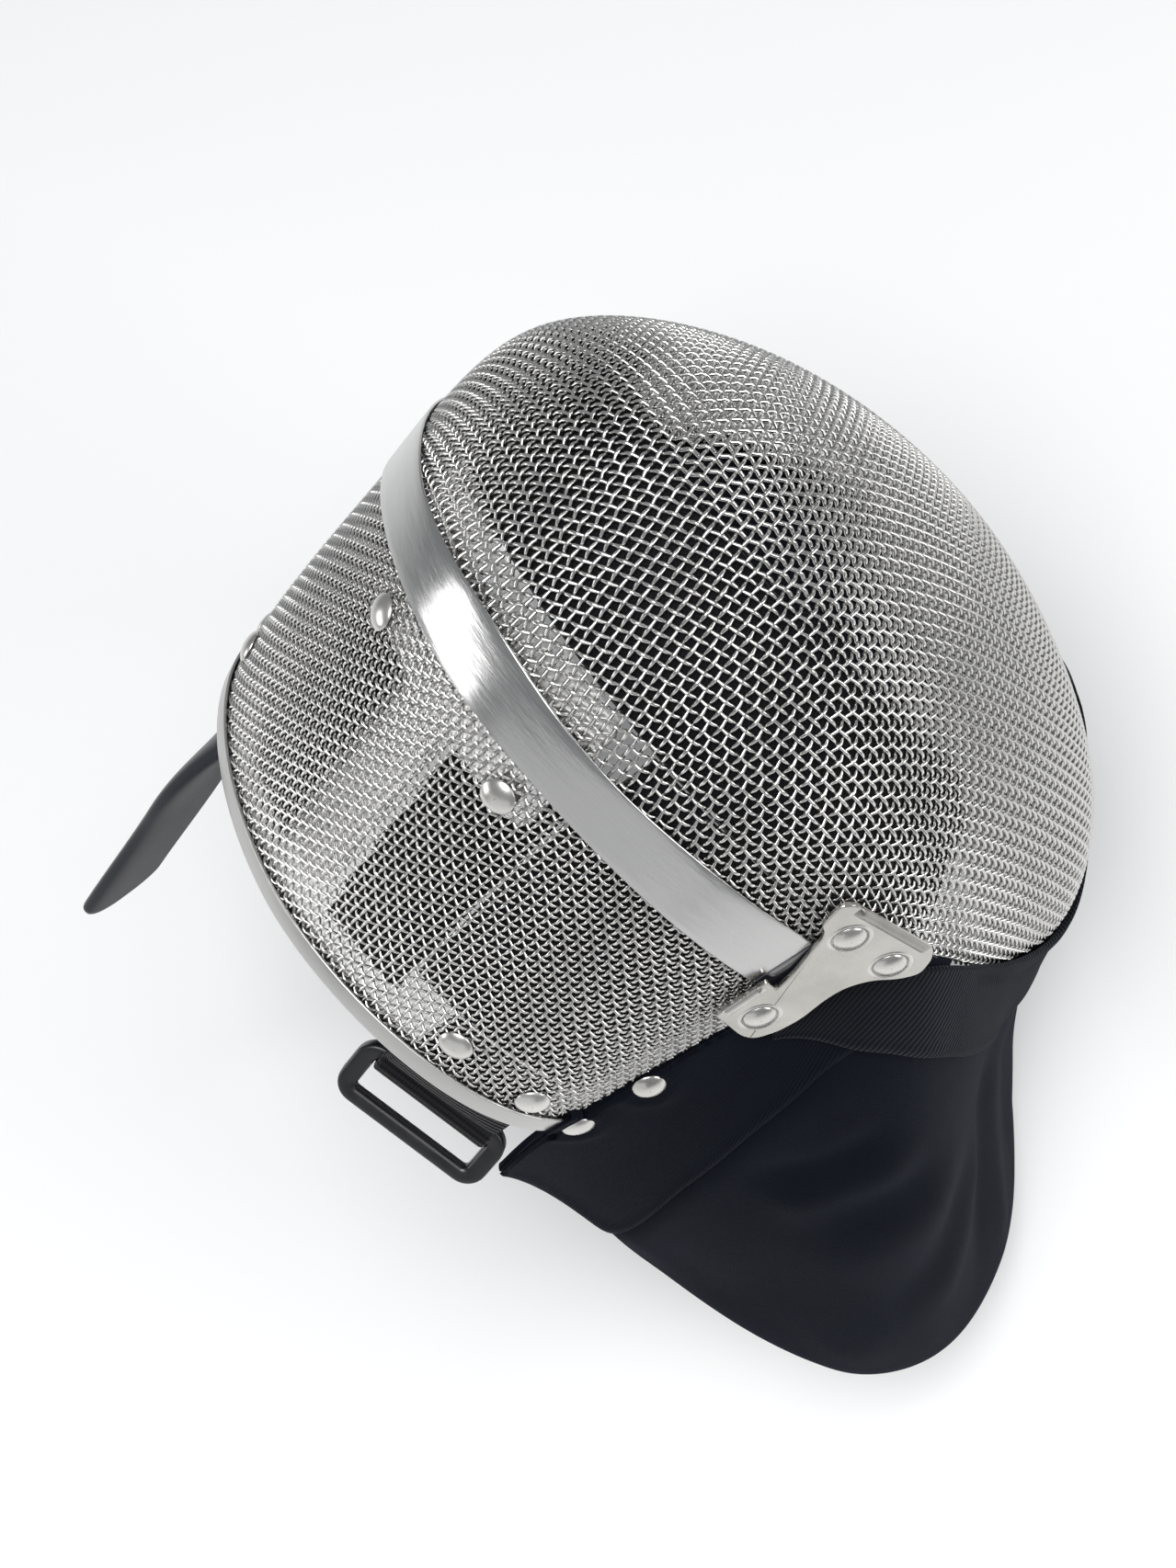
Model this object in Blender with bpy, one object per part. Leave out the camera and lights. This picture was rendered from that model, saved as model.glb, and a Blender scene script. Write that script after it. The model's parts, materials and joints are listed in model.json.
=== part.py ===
"""Fencing mask: wire-cloth shell in two parts under a crown band, rear rim, bib, brackets and straps."""

import bmesh
import bpy
import numpy as np
from mathutils import Vector

MM = 0.001

# Driving dimensions, in millimetres.
WALL = 1.8                # wire-cloth wall of the shell
BAND_THICK = 0.9          # crown band sheet
RIM_LEG = 6.0             # rear binding channel, leg over the cloth
RIM_SHEET = 0.8
ARCH_POWER = 1.8          # superellipse exponent of every arch section
ARCH_EASE = 0.02          # keeps the arch round where it crosses the centre plane
RIVET_RADIUS = 4.8
RIVET_HEIGHT = 2.4
PLATE_THICK = 1.2         # spring plate inside the crown
PLATE_HALF = 36.5
STEM_HALF = 8.0
PAD_THICK = 4.6
BIB_THICK = 2.4
TRIM_THICK = 2.0
FACING_THICK = 1.2
BRACKET_THICK = 1.4
BRACKET_LIP = 2.6
STRAP_THICK = 2.0
STRAP_WIDTH = 35.0
SLEEVE_WIDTH = 34.0
SLEEVE_THICK = 7.0
BUCKLE_LONG = 50.0
BUCKLE_SHORT = 20.0
BUCKLE_BAR = 4.6
GAP = 0.3
LAYER_GAP = 0.7           # between cloth layers, whose facets differ
PAD_REAR = 0.5            # shell station where the outer crown pads end
INNER_PAD_REAR = 0.28

# Shell sections from the rear rim over the crown to the chin:
# name, crown y, crown z, edge x (half width), edge y, edge z
SECTIONS = (
    ("rear_rim", 82.5, -73.0, 79.7, 51.7, -107.2),
    ("mid_crown", 38.3, -24.5, 84.6, 17.4, -93.8),
    ("band_rear", 6.7, 2.9, 88.5, -17.2, -86.0),
    ("band_front", -10.2, 15.2, 93.1, -39.3, -84.2),
    ("forehead", -59.2, 27.4, 98.8, -55.0, -97.5),
    ("brow", -101.1, -11.2, 100.5, -69.0, -140.7),
    ("nose", -127.3, -80.6, 97.1, -87.3, -181.9),
    ("mouth", -142.5, -157.3, 81.4, -111.1, -207.8),
    ("chin", -144.7, -226.5, 18.0, -150.2, -230.7),
)
BAND_FROM, BAND_TO = 1.95, 3.05
BAND_END = 80.0           # right end, degrees from the centre plane
BAND_END_LEFT = 86.5

# Bib stations from the rear corner to the front centre, right side:
# name, station on the shell edge, hem x, hem y, hem z, and how far the cloth first swings
# toward the hem: share sideways, share backward, share down
BIB = (
    ("rear_corner", 0.0, -75.0, 74.0, -140.0, 0.50, 0.50, 0.34),
    ("rear_side", 0.9, -96.0, 62.0, -185.0, 0.55, 0.55, 0.32),
    ("behind_ear", 1.9, -128.0, 51.0, -224.0, 0.58, 0.58, 0.30),
    ("ear", 3.0, -156.0, 36.0, -250.0, 0.60, 0.60, 0.28),
    ("cheek", 4.0, -171.0, 15.0, -276.0, 0.60, 0.60, 0.27),
    ("jaw", 5.0, -168.0, -13.0, -300.0, 0.56, 0.74, 0.29),
    ("jaw_front", 6.0, -144.0, -43.0, -322.0, 0.28, 0.84, 0.31),
    ("mouth_side", 7.0, -104.0, -68.0, -336.0, 0.26, 0.75, 0.32),
    ("chin_side", 7.8, -52.0, -92.0, -343.0, 0.30, 0.60, 0.33),
)
BIB_FRONT = ("front_centre", 8.0, 0.0, -104.0, -345.0, 0.30, 0.38, 0.33)
# Stations where the left side hangs closer: hem x and share sideways
BIB_LEFT = {"rear_side": (93.0, 0.52), "behind_ear": (119.0, 0.48), "ear": (143.0, 0.46),
            "cheek": (158.0, 0.46), "jaw": (160.0, 0.50)}
# How far the bib's upper edge lies inside the cloth's edge: station, inset
BIB_INSET = ((4.4, 0.0), (5.5, 2.0), (8.0, 2.0))

# Lower edge of the facing on the bib, from the rear corner: station, share of the bib's depth
FACING = ((0.0, 1.0), (0.9, 0.97), (1.25, 0.9), (1.7, 0.62), (2.4, 0.40), (3.2, 0.29), (4.4, 0.24))

# Jaw trim along the shell edge: station, width, rise above the bib's edge, height off the bib's cloth
TRIM = (
    (2.0, 7.0, 0.0, 2.8), (2.5, 15.0, 0.0, 2.8), (3.1, 23.0, 0.0, 2.8), (3.8, 28.0, 0.5, 2.8),
    (4.4, 29.0, 1.5, 2.8), (5.0, 30.0, 2.0, 1.6), (5.6, 30.0, 2.0, 0.9), (6.5, 29.0, 1.5, 0.9),
    (7.8, 30.0, 3.0, 0.9), (8.0, 32.0, 5.0, 0.9),
)

# Front edge of the forehead pad: degrees from the centre plane, shell station
PAD_EDGE = ((0, 4.05), (20, 4.15), (24, 4.2), (26, 4.38), (31, 4.4), (33, 4.28), (50, 4.8),
            (58, 4.75), (70, 4.3), (82, 3.9))


def spline(rows, at):
    """Cubic through rows at stations 0, 1, 2 ..., with not-a-knot ends."""
    y = np.asarray(rows, float)
    n = len(y)
    a = np.zeros((n, n))
    b = np.zeros_like(y)
    for i in range(1, n - 1):
        a[i, i - 1:i + 2] = (1, 4, 1)
        b[i] = 6 * (y[i + 1] - 2 * y[i] + y[i - 1])
    a[0, :3] = (1, -2, 1)
    a[-1, -3:] = (1, -2, 1)
    m = np.linalg.solve(a, b)
    at = np.atleast_1d(np.asarray(at, float))
    i = np.clip(np.floor(at).astype(int), 0, n - 2)
    s = (at - i)[:, None]
    r = 1 - s
    return (m[i] * r**3 / 6 + m[i + 1] * s**3 / 6
            + (y[i] - m[i] / 6) * r + (y[i + 1] - m[i + 1] / 6) * s)


SHELL_ROWS = [row[1:] for row in SECTIONS]


def shell_raw(t, phi):
    """Middle surface of the shell: t along the crown line, phi round the arch, both in equal arrays."""
    v = spline(SHELL_ROWS, t.ravel())
    c = np.cos(phi.ravel())
    s = np.sin(phi.ravel())
    k = 1 / ARCH_POWER - 0.5
    up = c * ((c * c + ARCH_EASE) / (1 + ARCH_EASE)) ** k
    side = s * ((s * s + ARCH_EASE) / (1 + ARCH_EASE)) ** k
    x = -v[:, 2] * side
    y = v[:, 3] + (v[:, 0] - v[:, 3]) * up
    z = v[:, 4] + (v[:, 1] - v[:, 4]) * up
    return np.stack([x, y, z], 1).reshape(t.shape + (3,))


def normals(surface, u, v, du, dv):
    a = surface(u + du, v) - surface(u - du, v)
    b = surface(u, v + dv) - surface(u, v - dv)
    n = np.cross(a, b)
    return n / np.maximum(np.linalg.norm(n, axis=-1, keepdims=True), 1e-9)


def shell(t, phi, off=0.0):
    """Shell surface moved outward by off."""
    t, phi = np.broadcast_arrays(np.asarray(t, float), np.asarray(phi, float))
    tn = np.clip(t, 0.02, 7.98)
    pn = np.clip(phi, -1.5, 1.5)
    n = normals(shell_raw, tn, pn, 0.02, 0.02)
    p = shell_raw(t, phi)
    centre = np.array([0.0, -40.0, -110.0])
    flip = np.sign(np.sum(n * (p - centre), axis=-1, keepdims=True))
    return p + n * flip * np.asarray(off)[..., None] if np.ndim(off) else p + n * flip * off


def bib_rows():
    right = [row[1:] for row in BIB]
    left = []
    for name, station, x, y, z, sideways, back, down in BIB[::-1]:
        x, sideways = BIB_LEFT.get(name, (-x, sideways))
        left.append((station, x, y, z, sideways, back, down))
    return right + [BIB_FRONT[1:]] + left


BIB_ROWS = bib_rows()
BIB_N = len(BIB_ROWS)
BIB_MID = (BIB_N - 1) / 2


def foot(u):
    """Where a bib station starts on the shell: its row, station, arch angle, and 0 at the front to 1 at the sides."""
    row = spline(BIB_ROWS, u)
    front = np.clip(np.abs(u - BIB_MID) / 1.2, 0, 1)
    return row, np.clip(row[:, 0], 0.0, 8.0), np.radians(90.0) * np.sign(BIB_MID - u) * front**0.6, front


def bib_raw(u, v):
    """Middle surface of the bib: u in stations from the right rear corner round to the left, v down."""
    row, t, phi, front = foot(u.ravel())
    inset_t, inset = np.array(BIB_INSET).T
    e = shell(t, phi, -np.interp(t, inset_t, inset))
    h = row[:, 1:4]
    ctrl = e + (h - e) * row[:, 4:7]
    down = (ctrl - e) / np.linalg.norm(ctrl - e, axis=1, keepdims=True)
    e = e + down * 1.6 + np.array([0, 0, -1.0]) * np.clip(1.6 - front, 0, 1)[:, None] * 1.8
    w = v.ravel()[:, None]
    p = (1 - w) ** 2 * e + 2 * w * (1 - w) * ctrl + w**2 * h
    return p.reshape(u.shape + (3,))


def bib(u, v, off=0.0):
    u, v = np.broadcast_arrays(np.asarray(u, float), np.asarray(v, float))
    un = np.clip(u, 0.05, BIB_N - 1.05)
    vn = np.clip(v, 0.02, 0.98)
    n = normals(bib_raw, un, vn, 0.05, 0.02)
    p = bib_raw(u, v)
    centre = np.array([0.0, -20.0, -230.0])
    flip = np.sign(np.sum(n * (p - centre), axis=-1, keepdims=True))
    return p + n * flip * off


def smooth_step(x):
    x = np.clip(x, 0, 1)
    return x * x * (3 - 2 * x)


def edge_arch(t):
    """Largest arch angle of the wire cloth at a station: its corners at the chin are rounded like the bib's edge."""
    row, at_t, at_phi, front = foot(np.linspace(BIB_MID - 1.2, BIB_MID, 61))
    return np.interp(t, at_t, np.abs(at_phi))


def trim(u, run, lift, height):
    """Jaw trim: run millimetres below the bib's edge. Above it the front part lies on the wire cloth and
    below it on the bib, and a smooth step leads from one to the other."""
    row, t, phi, front = foot(u.ravel())
    edge = shell_raw(t, phi)
    row, t_on, phi_on, front_on = foot(u.ravel() + 0.05)
    along = shell_raw(t_on, phi_on) - edge
    along /= np.linalg.norm(along, axis=1, keepdims=True)
    out = shell(t, phi, 1.0) - edge
    up = np.cross(out, along)
    up *= np.sign(up[:, 2:]) / np.linalg.norm(up, axis=1, keepdims=True)
    off = WALL / 2 + LAYER_GAP + height + 0.035 * np.minimum(run, 0) ** 2
    on_mesh = edge[:, None] + out[:, None] * off[..., None] - up[:, None] * run[..., None]
    on_bib = bib(u, run / bib_depth(u), (lift + BIB_THICK / 2 + height)[..., None])
    w = 1 - (1 - smooth_step((run - 0.8) / 4)) * smooth_step((t[:, None] - 4.4) / 0.8)
    return on_mesh * (1 - w[..., None]) + on_bib * w[..., None]


def bib_depth(u):
    """Millimetres of cloth per unit of v near the bib's upper edge."""
    low, top = bib_raw(u, np.full_like(u, 0.3)), bib_raw(u, np.zeros_like(u))
    return np.linalg.norm(low - top, axis=-1) / 0.3


def station_to_u(t):
    """Bib station index on the right side for a shell edge station."""
    ts = [row[1] for row in BIB] + [BIB_FRONT[1]]
    return np.interp(t, ts, np.arange(len(ts)))


MATERIALS = {
    "wire_steel": ((0.62, 0.61, 0.59, 1), 0.9, 0.35),
    "sheet_steel": ((0.66, 0.65, 0.64, 1), 1.0, 0.3),
    "nickel": ((0.70, 0.68, 0.65, 1), 1.0, 0.22),
    "black_cloth": ((0.012, 0.013, 0.018, 1), 0.0, 0.9),
    "twill_tape": ((0.016, 0.017, 0.022, 1), 0.0, 0.8),
    "webbing_black": ((0.02, 0.02, 0.022, 1), 0.0, 0.75),
    "sleeve_cloth": ((0.035, 0.036, 0.042, 1), 0.0, 0.8),
    "foam_cloth": ((0.01, 0.01, 0.012, 1), 0.0, 0.95),
    "gloss_black": ((0.012, 0.012, 0.013, 1), 0.0, 0.25),
}


def material(name):
    mat = bpy.data.materials.get(name)
    if mat is None:
        mat = bpy.data.materials.new(name)
        mat.use_nodes = True
        shader = mat.node_tree.nodes["Principled BSDF"]
        color, metallic, rough = MATERIALS[name]
        shader.inputs["Base Color"].default_value = color
        shader.inputs["Metallic"].default_value = metallic
        shader.inputs["Roughness"].default_value = rough
        mat.diffuse_color = color
    return mat


def add(name, verts, faces, mat, smooth=True):
    mesh = bpy.data.meshes.new(name)
    mesh.from_pydata([tuple(p) for p in np.asarray(verts, float) * MM], [], faces)
    bm = bmesh.new()
    bm.from_mesh(mesh)
    bmesh.ops.recalc_face_normals(bm, faces=bm.faces)
    if bm.calc_volume(signed=True) < 0:
        bmesh.ops.reverse_faces(bm, faces=bm.faces)
    bm.to_mesh(mesh)
    bm.free()
    obj = bpy.data.objects.new(name, mesh)
    bpy.context.scene.collection.objects.link(obj)
    mesh.materials.append(material(mat))
    if smooth:
        mesh.polygons.foreach_set("use_smooth", [True] * len(mesh.polygons))
        bpy.context.view_layer.objects.active = obj
        obj.select_set(True)
        bpy.ops.object.shade_smooth_by_angle(angle=np.radians(38))
        obj.select_set(False)
    return obj


def slab(name, outer, inner, mat):
    """Closed wall between two grids of the same shape."""
    n, m = outer.shape[:2]
    verts = np.concatenate([outer.reshape(-1, 3), inner.reshape(-1, 3)])
    k = n * m
    idx = np.arange(k).reshape(n, m)
    faces = []
    for i in range(n - 1):
        for j in range(m - 1):
            a, b, c, d = idx[i, j], idx[i + 1, j], idx[i + 1, j + 1], idx[i, j + 1]
            faces.append((a, b, c, d))
            faces.append((a + k, d + k, c + k, b + k))
    ring = list(idx[:, 0]) + list(idx[-1, 1:]) + list(idx[-2::-1, -1]) + list(idx[0, -2:0:-1])
    for a, b in zip(ring, ring[1:] + ring[:1]):
        faces.append((b, a, a + k, b + k))
    return add(name, verts, [tuple(int(q) for q in f) for f in faces], mat)


def tube(name, rings, mat):
    """Closed solid through rings of points of equal count, with flat ends."""
    n, m = len(rings), len(rings[0])
    verts = np.asarray(rings).reshape(-1, 3)
    faces = []
    for i in range(n - 1):
        for j in range(m):
            a = i * m + j
            b = i * m + (j + 1) % m
            faces.append((a, b, b + m, a + m))
    faces.append(tuple(range(m))[::-1])
    faces.append(tuple(range((n - 1) * m, n * m)))
    return add(name, verts, faces, mat)


def frame_at(normal, hint):
    z = Vector(normal).normalized()
    x = (Vector(hint) - Vector(hint).dot(z) * z).normalized()
    y = z.cross(x)
    return np.array(x), np.array(y), np.array(z)


def rivet(name, centre, normal, mat="nickel", radius=RIVET_RADIUS, height=RIVET_HEIGHT):
    """Flat-backed dome whose back is at centre."""
    x, y, z = frame_at(normal, (0.31, 0.2, 0.93))
    profile = [(radius, 0.0), (radius, 0.35)]
    steps = 3
    for i in range(1, steps):
        a = np.pi / 2 * i / steps
        profile.append((radius * np.cos(a), 0.35 + (height - 0.35) * np.sin(a)))
    count = 16
    ang = np.arange(count) / count * 2 * np.pi
    rings = [
        centre + r * (np.cos(ang)[:, None] * x + np.sin(ang)[:, None] * y) + h * z
        for r, h in profile
    ]
    verts = np.concatenate(rings + [[centre + height * z]])
    faces = [tuple(range(count))[::-1]]
    for i in range(len(rings) - 1):
        for j in range(count):
            a = i * count + j
            b = i * count + (j + 1) % count
            faces.append((a, b, b + count, a + count))
    top = len(verts) - 1
    last = (len(rings) - 1) * count
    faces += [(last + j, last + (j + 1) % count, top) for j in range(count)]
    return add(name, verts, faces, mat)


for old in list(bpy.data.objects):
    bpy.data.objects.remove(old, do_unlink=True)

deg = np.radians

# Wire-cloth shell: one wall for the face and one for the crown, both tucked under the band.
phi = deg(np.linspace(-90, 90, 27))[None, :]
t_face = np.append(np.linspace(2.56, 7.68, 19), (7.84, 7.96))[:, None]
phi_face = phi * edge_arch(t_face) / deg(90)
slab("face_mesh", shell(t_face, phi_face, WALL / 2), shell(t_face, phi_face, -WALL / 2), "wire_steel")
t_crown = np.linspace(0.06, 2.44, 9)[:, None]
slab("crown_mesh", shell(t_crown, phi, WALL / 2), shell(t_crown, phi, -WALL / 2), "wire_steel")

# Crown band over the joint of the two cloths.
phi_b = deg(np.linspace(-BAND_END_LEFT, BAND_END, 31))[None, :]
t_band = np.linspace(BAND_FROM, BAND_TO, 4)[:, None]
band_in = WALL / 2 + GAP
slab("crown_band", shell(t_band, phi_b, band_in + BAND_THICK), shell(t_band, phi_b, band_in), "sheet_steel")

# Rear rim: a channel folded over the cloth's rear edge.
phi_r = deg(np.linspace(-88, 88, 29))
base = shell(np.full_like(phi_r, 0.06), phi_r, 0.0)
step = shell(np.full_like(phi_r, 0.14), phi_r, 0.0)
outw = shell(np.full_like(phi_r, 0.06), phi_r, 1.0) - base
along = step - base
along /= np.linalg.norm(along, axis=1, keepdims=True)
half = WALL / 2 + GAP + 0.1
full = half + RIM_SHEET
channel = (
    (RIM_LEG, full), (-GAP, full), (-GAP - RIM_SHEET, full - 0.6), (-GAP - RIM_SHEET, -full + 0.6),
    (-GAP, -full), (RIM_LEG, -full), (RIM_LEG, -half), (-GAP, -half), (-GAP, half), (RIM_LEG, half),
)
rings = [base[i] + np.array([a * along[i] + b * outw[i] for a, b in channel]) for i in range(len(phi_r))]
tube("rear_rim", rings, "sheet_steel")

# Rivets of the crown plate, outside the cloth.
on_cloth = WALL / 2 + GAP
for side, name in ((1, "right"), (-1, "left")):
    at = deg(20.5) * side
    p = shell(1.70, at, on_cloth)
    q = shell(1.70, at, on_cloth + 1)
    rivet(f"crown_rivet_{name}", p, q - p)

# Spring plate inside the crown: a crossbar under the band and a stem to the rear.
plate_out = -(WALL / 2 + GAP + 0.25)
xs = np.array([-PLATE_HALF, -30, -22, -15, -STEM_HALF, -4, 0, 4, STEM_HALF, 15, 22, 30, PLATE_HALF])


def phi_for_x(t, x):
    """Arch angle where the shell has the given x at station t."""
    table = deg(np.linspace(-80, 80, 321))
    found = shell_raw(np.full(321, float(t)), table)[:, 0]
    return float(np.interp(-x, -found, table))


def plate_grid(ts, columns, off):
    return np.array([[shell(t, phi_for_x(t, x), off) for x in columns] for t in ts])


t_bar = np.linspace(1.6, 3.2, 8)
t_stem = np.linspace(0.32, 1.6, 8)
top_bar = plate_grid(t_bar, xs, plate_out)
low_bar = plate_grid(t_bar, xs, plate_out - PLATE_THICK)
xs_stem = xs[4:9]
top_stem = plate_grid(t_stem, xs_stem, plate_out)
low_stem = plate_grid(t_stem, xs_stem, plate_out - PLATE_THICK)


def plate_solid():
    verts = []
    index = {}

    def put(p):
        key = tuple(np.round(p, 5))
        if key not in index:
            index[key] = len(verts)
            verts.append(p)
        return index[key]

    quads = []
    for top, low in ((top_bar, low_bar), (top_stem, low_stem)):
        n, m = top.shape[:2]
        for i in range(n - 1):
            for j in range(m - 1):
                quads.append([put(top[i, j]), put(top[i + 1, j]), put(top[i + 1, j + 1]), put(top[i, j + 1])])
                quads.append([put(low[i, j]), put(low[i, j + 1]), put(low[i + 1, j + 1]), put(low[i + 1, j])])
    twin = {}
    for top, low in ((top_bar, low_bar), (top_stem, low_stem)):
        for a, b in zip(top.reshape(-1, 3), low.reshape(-1, 3)):
            twin[put(a)] = put(b)
    count = {}
    for q in quads[::2]:
        for a, b in zip(q, q[1:] + q[:1]):
            count[(a, b)] = 1
    for a, b in list(count):
        if (b, a) not in count:
            quads.append([b, a, twin[a], twin[b]])
    return verts, [tuple(q) for q in quads]


plate_verts, plate_faces = plate_solid()
add("spring_plate", plate_verts, plate_faces, "sheet_steel")

# Inner pads, seen through the cloth.
pad_out = plate_out - PLATE_THICK - GAP
edge_deg, edge_t = np.array(PAD_EDGE, float).T


def pad(name, t_from, t_to, lo, hi, across, rows, seat=pad_out):
    """Pad between two stations, which may be functions of the arch angle in degrees."""
    degs = np.linspace(lo, hi, across)
    starts = np.array([t_from(d) if callable(t_from) else t_from for d in degs])
    ends = np.array([t_to(d) if callable(t_to) else t_to for d in degs])
    s = np.linspace(0, 1, rows)[:, None]
    t = starts + (ends - starts) * s
    ph = np.broadcast_to(deg(degs), t.shape)
    rim = np.minimum(np.minimum(s, 1 - s) * rows, 1.0)
    edge = np.minimum(np.minimum(np.linspace(0, 1, across), 1 - np.linspace(0, 1, across)) * across, 1.0)
    full_here = np.minimum(rim, edge[None, :])
    inner = seat - PAD_THICK * (0.45 + 0.55 * full_here)
    slab(name, shell(t, ph, seat), shell(t, ph, inner), "foam_cloth")


def pad_front(d):
    return float(np.interp(abs(d), edge_deg, edge_t))


pad("forehead_pad", 3.25, pad_front, -82, 82, 36, 5, plate_out - 0.35)
for side, name in ((1, "right"), (-1, "left")):
    pad(f"crown_pad_inner_{name}", INNER_PAD_REAR, 1.9, 9.5 * side, 29 * side, 6, 6)
    pad(f"crown_pad_outer_{name}", PAD_REAR, 3.1, 31.5 * side, 80 * side, 9, 8, plate_out)

# Bib, facings and jaw trim.
u = np.linspace(0, BIB_N - 1, 43)[:, None]
v = np.linspace(0, 1, 9)[None, :]
slab("bib", bib(u, v, BIB_THICK / 2), bib(u, v, -BIB_THICK / 2), "black_cloth")

fs, fv = np.array(FACING).T
u_face = np.linspace(0, float(station_to_u(fs[-1])), 15)[:, None]
depth = np.interp(u_face, station_to_u(fs), fv)
w = np.linspace(0, 1, 7)[None, :]
facing_in = BIB_THICK / 2 + LAYER_GAP + 0.2
facing_v = -0.012 + (depth + 0.012) * w
for name, u_side in (("right", u_face), ("left", BIB_N - 1 - u_face)):
    f_out = bib(u_side, facing_v, facing_in + FACING_THICK)
    slab(f"bib_facing_{name}", f_out, bib(u_side, facing_v, facing_in), "black_cloth")

u0 = float(station_to_u(TRIM[0][0]))
reach = np.linspace(-1, 1, 39)
u_trim = BIB_MID + (BIB_MID - u0) * np.sign(reach) * np.abs(reach) ** 1.35
trim_t = np.array(TRIM)[:, 0]
trim_width, trim_rise, trim_in = [
    np.interp(np.minimum(u_trim, BIB_N - 1 - u_trim), station_to_u(trim_t), column)[:, None]
    for column in np.array(TRIM).T[1:]
]
low = trim_width - trim_rise
trim_run = np.concatenate([-trim_rise, (0.8 - trim_rise) / 2, 0 * low + 0.8]
                          + [4.8 + (low - 4.8) * share for share in (0, 0.33, 0.66, 1)], axis=1)
u_trim = u_trim[:, None]
slab("jaw_trim", trim(u_trim, trim_run, trim_in, TRIM_THICK), trim(u_trim, trim_run, trim_in, 0.0), "twill_tape")

# Side brackets: a waisted plate with two folded lips and three rivets.
B_NORMAL = np.array([-0.90, 0.26, 0.34])
B_NORMAL /= np.linalg.norm(B_NORMAL)
B_ORIGIN = np.array([-90.3, -38.8, -58.4]) + B_NORMAL * 3.1
B_X, B_Y, B_Z = frame_at(B_NORMAL, (0.0, 0.80, -0.60))
# outline in the plate's own axes, along and across
B_OUTLINE = (
    (35.6, -14.8), (41.3, -2.0), (40.8, 2.2), (36.0, 6.1), (29.0, 8.4), (20.1, 8.8), (13.7, 10.5),
    (8.8, 15.0), (5.8, 22.1), (1.8, 25.7), (-4.3, 24.3), (-8.1, 21.4), (-15.9, -10.7), (-14.1, -14.1),
    (-6.0, -13.4), (-2.8, -9.9), (5.0, -8.6), (13.2, -6.9), (20.7, -6.8), (18.6, -11.4),
)
B_RIVETS = (("upper", -4.2, -3.0), ("front", 1.4, 15.0), ("rear", 32.0, -3.2))
# folded lips: two points on the edge, the fold standing up from the plate
B_LIPS = (((-8.4, 20.5), (-15.6, -9.5)), ((34.6, -14.4), (20.2, -11.6)))


def on_plate(a, b, h):
    return B_ORIGIN + a * B_X + b * B_Y + h * B_Z


def prism(points, low, high):
    n = len(points)
    verts = [on_plate(a, b, low) for a, b in points] + [on_plate(a, b, high) for a, b in points]
    faces = [tuple(range(n)), tuple(range(2 * n - 1, n - 1, -1))]
    faces += [(i, (i + 1) % n, (i + 1) % n + n, i + n) for i in range(n)]
    return verts, faces


def bracket(name):
    verts, faces = prism(B_OUTLINE, 0.0, BRACKET_THICK)
    obj = add(name, verts, faces, "nickel", smooth=False)
    for k, (p, q) in enumerate(B_LIPS):
        p, q = np.array(p), np.array(q)
        along_edge = (q - p) / np.linalg.norm(q - p)
        inward = np.array([-along_edge[1], along_edge[0]])
        middle = np.array([6.0, 2.0])
        if np.dot(middle - (p + q) / 2, inward) < 0:
            inward = -inward
        quad = [p - inward * 0.1, q - inward * 0.1, q + inward * 1.3, p + inward * 1.3]
        verts, faces = prism([tuple(c) for c in quad], 0.35, BRACKET_THICK + BRACKET_LIP)
        lip = add(f"lip_{name}_{k}", verts, faces, "nickel", smooth=False)
        lip.hide_render = True
        lip.display_type = "WIRE"
        mod = obj.modifiers.new(f"lip_{k}", "BOOLEAN")
        mod.operation = "UNION"
        mod.solver = "EXACT"
        mod.object = lip
    return obj


bracket("side_bracket")
for tag, a, b in B_RIVETS:
    p = on_plate(a, b, BRACKET_THICK + GAP)
    rivet(f"bracket_rivet_{tag}", p, B_Z, height=1.9)

# Dark tab beyond the band's right end, under the bracket; the left end has one plain rivet.
t_tab = np.linspace(2.0, 3.2, 4)[:, None]
phi_t = deg(np.linspace(BAND_END + 0.6, 87.0, 4))[None, :]
slab("band_end_tab", shell(t_tab, phi_t, on_cloth + 1.5), shell(t_tab, phi_t, on_cloth), "gloss_black")
on_band = band_in + BAND_THICK + GAP
p = shell(2.5, deg(-80.0), on_band)
q = shell(2.5, deg(-80.0), on_band + 1)
rivet("band_rivet_left", p, q - p)

# Strap rivets on the cloth near the rear corners, and rivets on the facings.
STRAP_RIVETS = (("upper_right", 0.36, 46.0), ("lower_right", 0.31, 69.0),
                ("upper_left", 0.40, -60.0), ("lower_left", 0.34, -80.0))
for tag, t_at, d_at in STRAP_RIVETS:
    p = shell(t_at, deg(d_at), on_cloth)
    q = shell(t_at, deg(d_at), on_cloth + 1)
    rivet(f"strap_rivet_{tag}", p, q - p)

FACING_RIVETS = (("rear", 0.36, 0.075), ("middle", 1.0, 0.022))
rivet_seat = facing_in + FACING_THICK + GAP + 0.25
for tag, at_u, at_v in FACING_RIVETS:
    for name, u_side in (("right", at_u), ("left", BIB_N - 1 - at_u)):
        p = bib(u_side, at_v, rivet_seat)
        q = bib(u_side, at_v, rivet_seat + 1)
        rivet(f"facing_rivet_{tag}_{name}", p, q - p, height=2.0)

# Strap loop and its buckle on the right.
BUCKLE_AT = np.array([-56.0, 81.0, -114.0])
AX_LONG = np.array([-0.87, -0.33, -0.37])
AX_LONG /= np.linalg.norm(AX_LONG)
AX_OUT = np.array([0.2, 0.95, -0.25])
AX_OUT -= AX_LONG * (AX_OUT @ AX_LONG)
AX_OUT /= np.linalg.norm(AX_OUT)
AX_UP = -np.cross(AX_LONG, AX_OUT)


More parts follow.
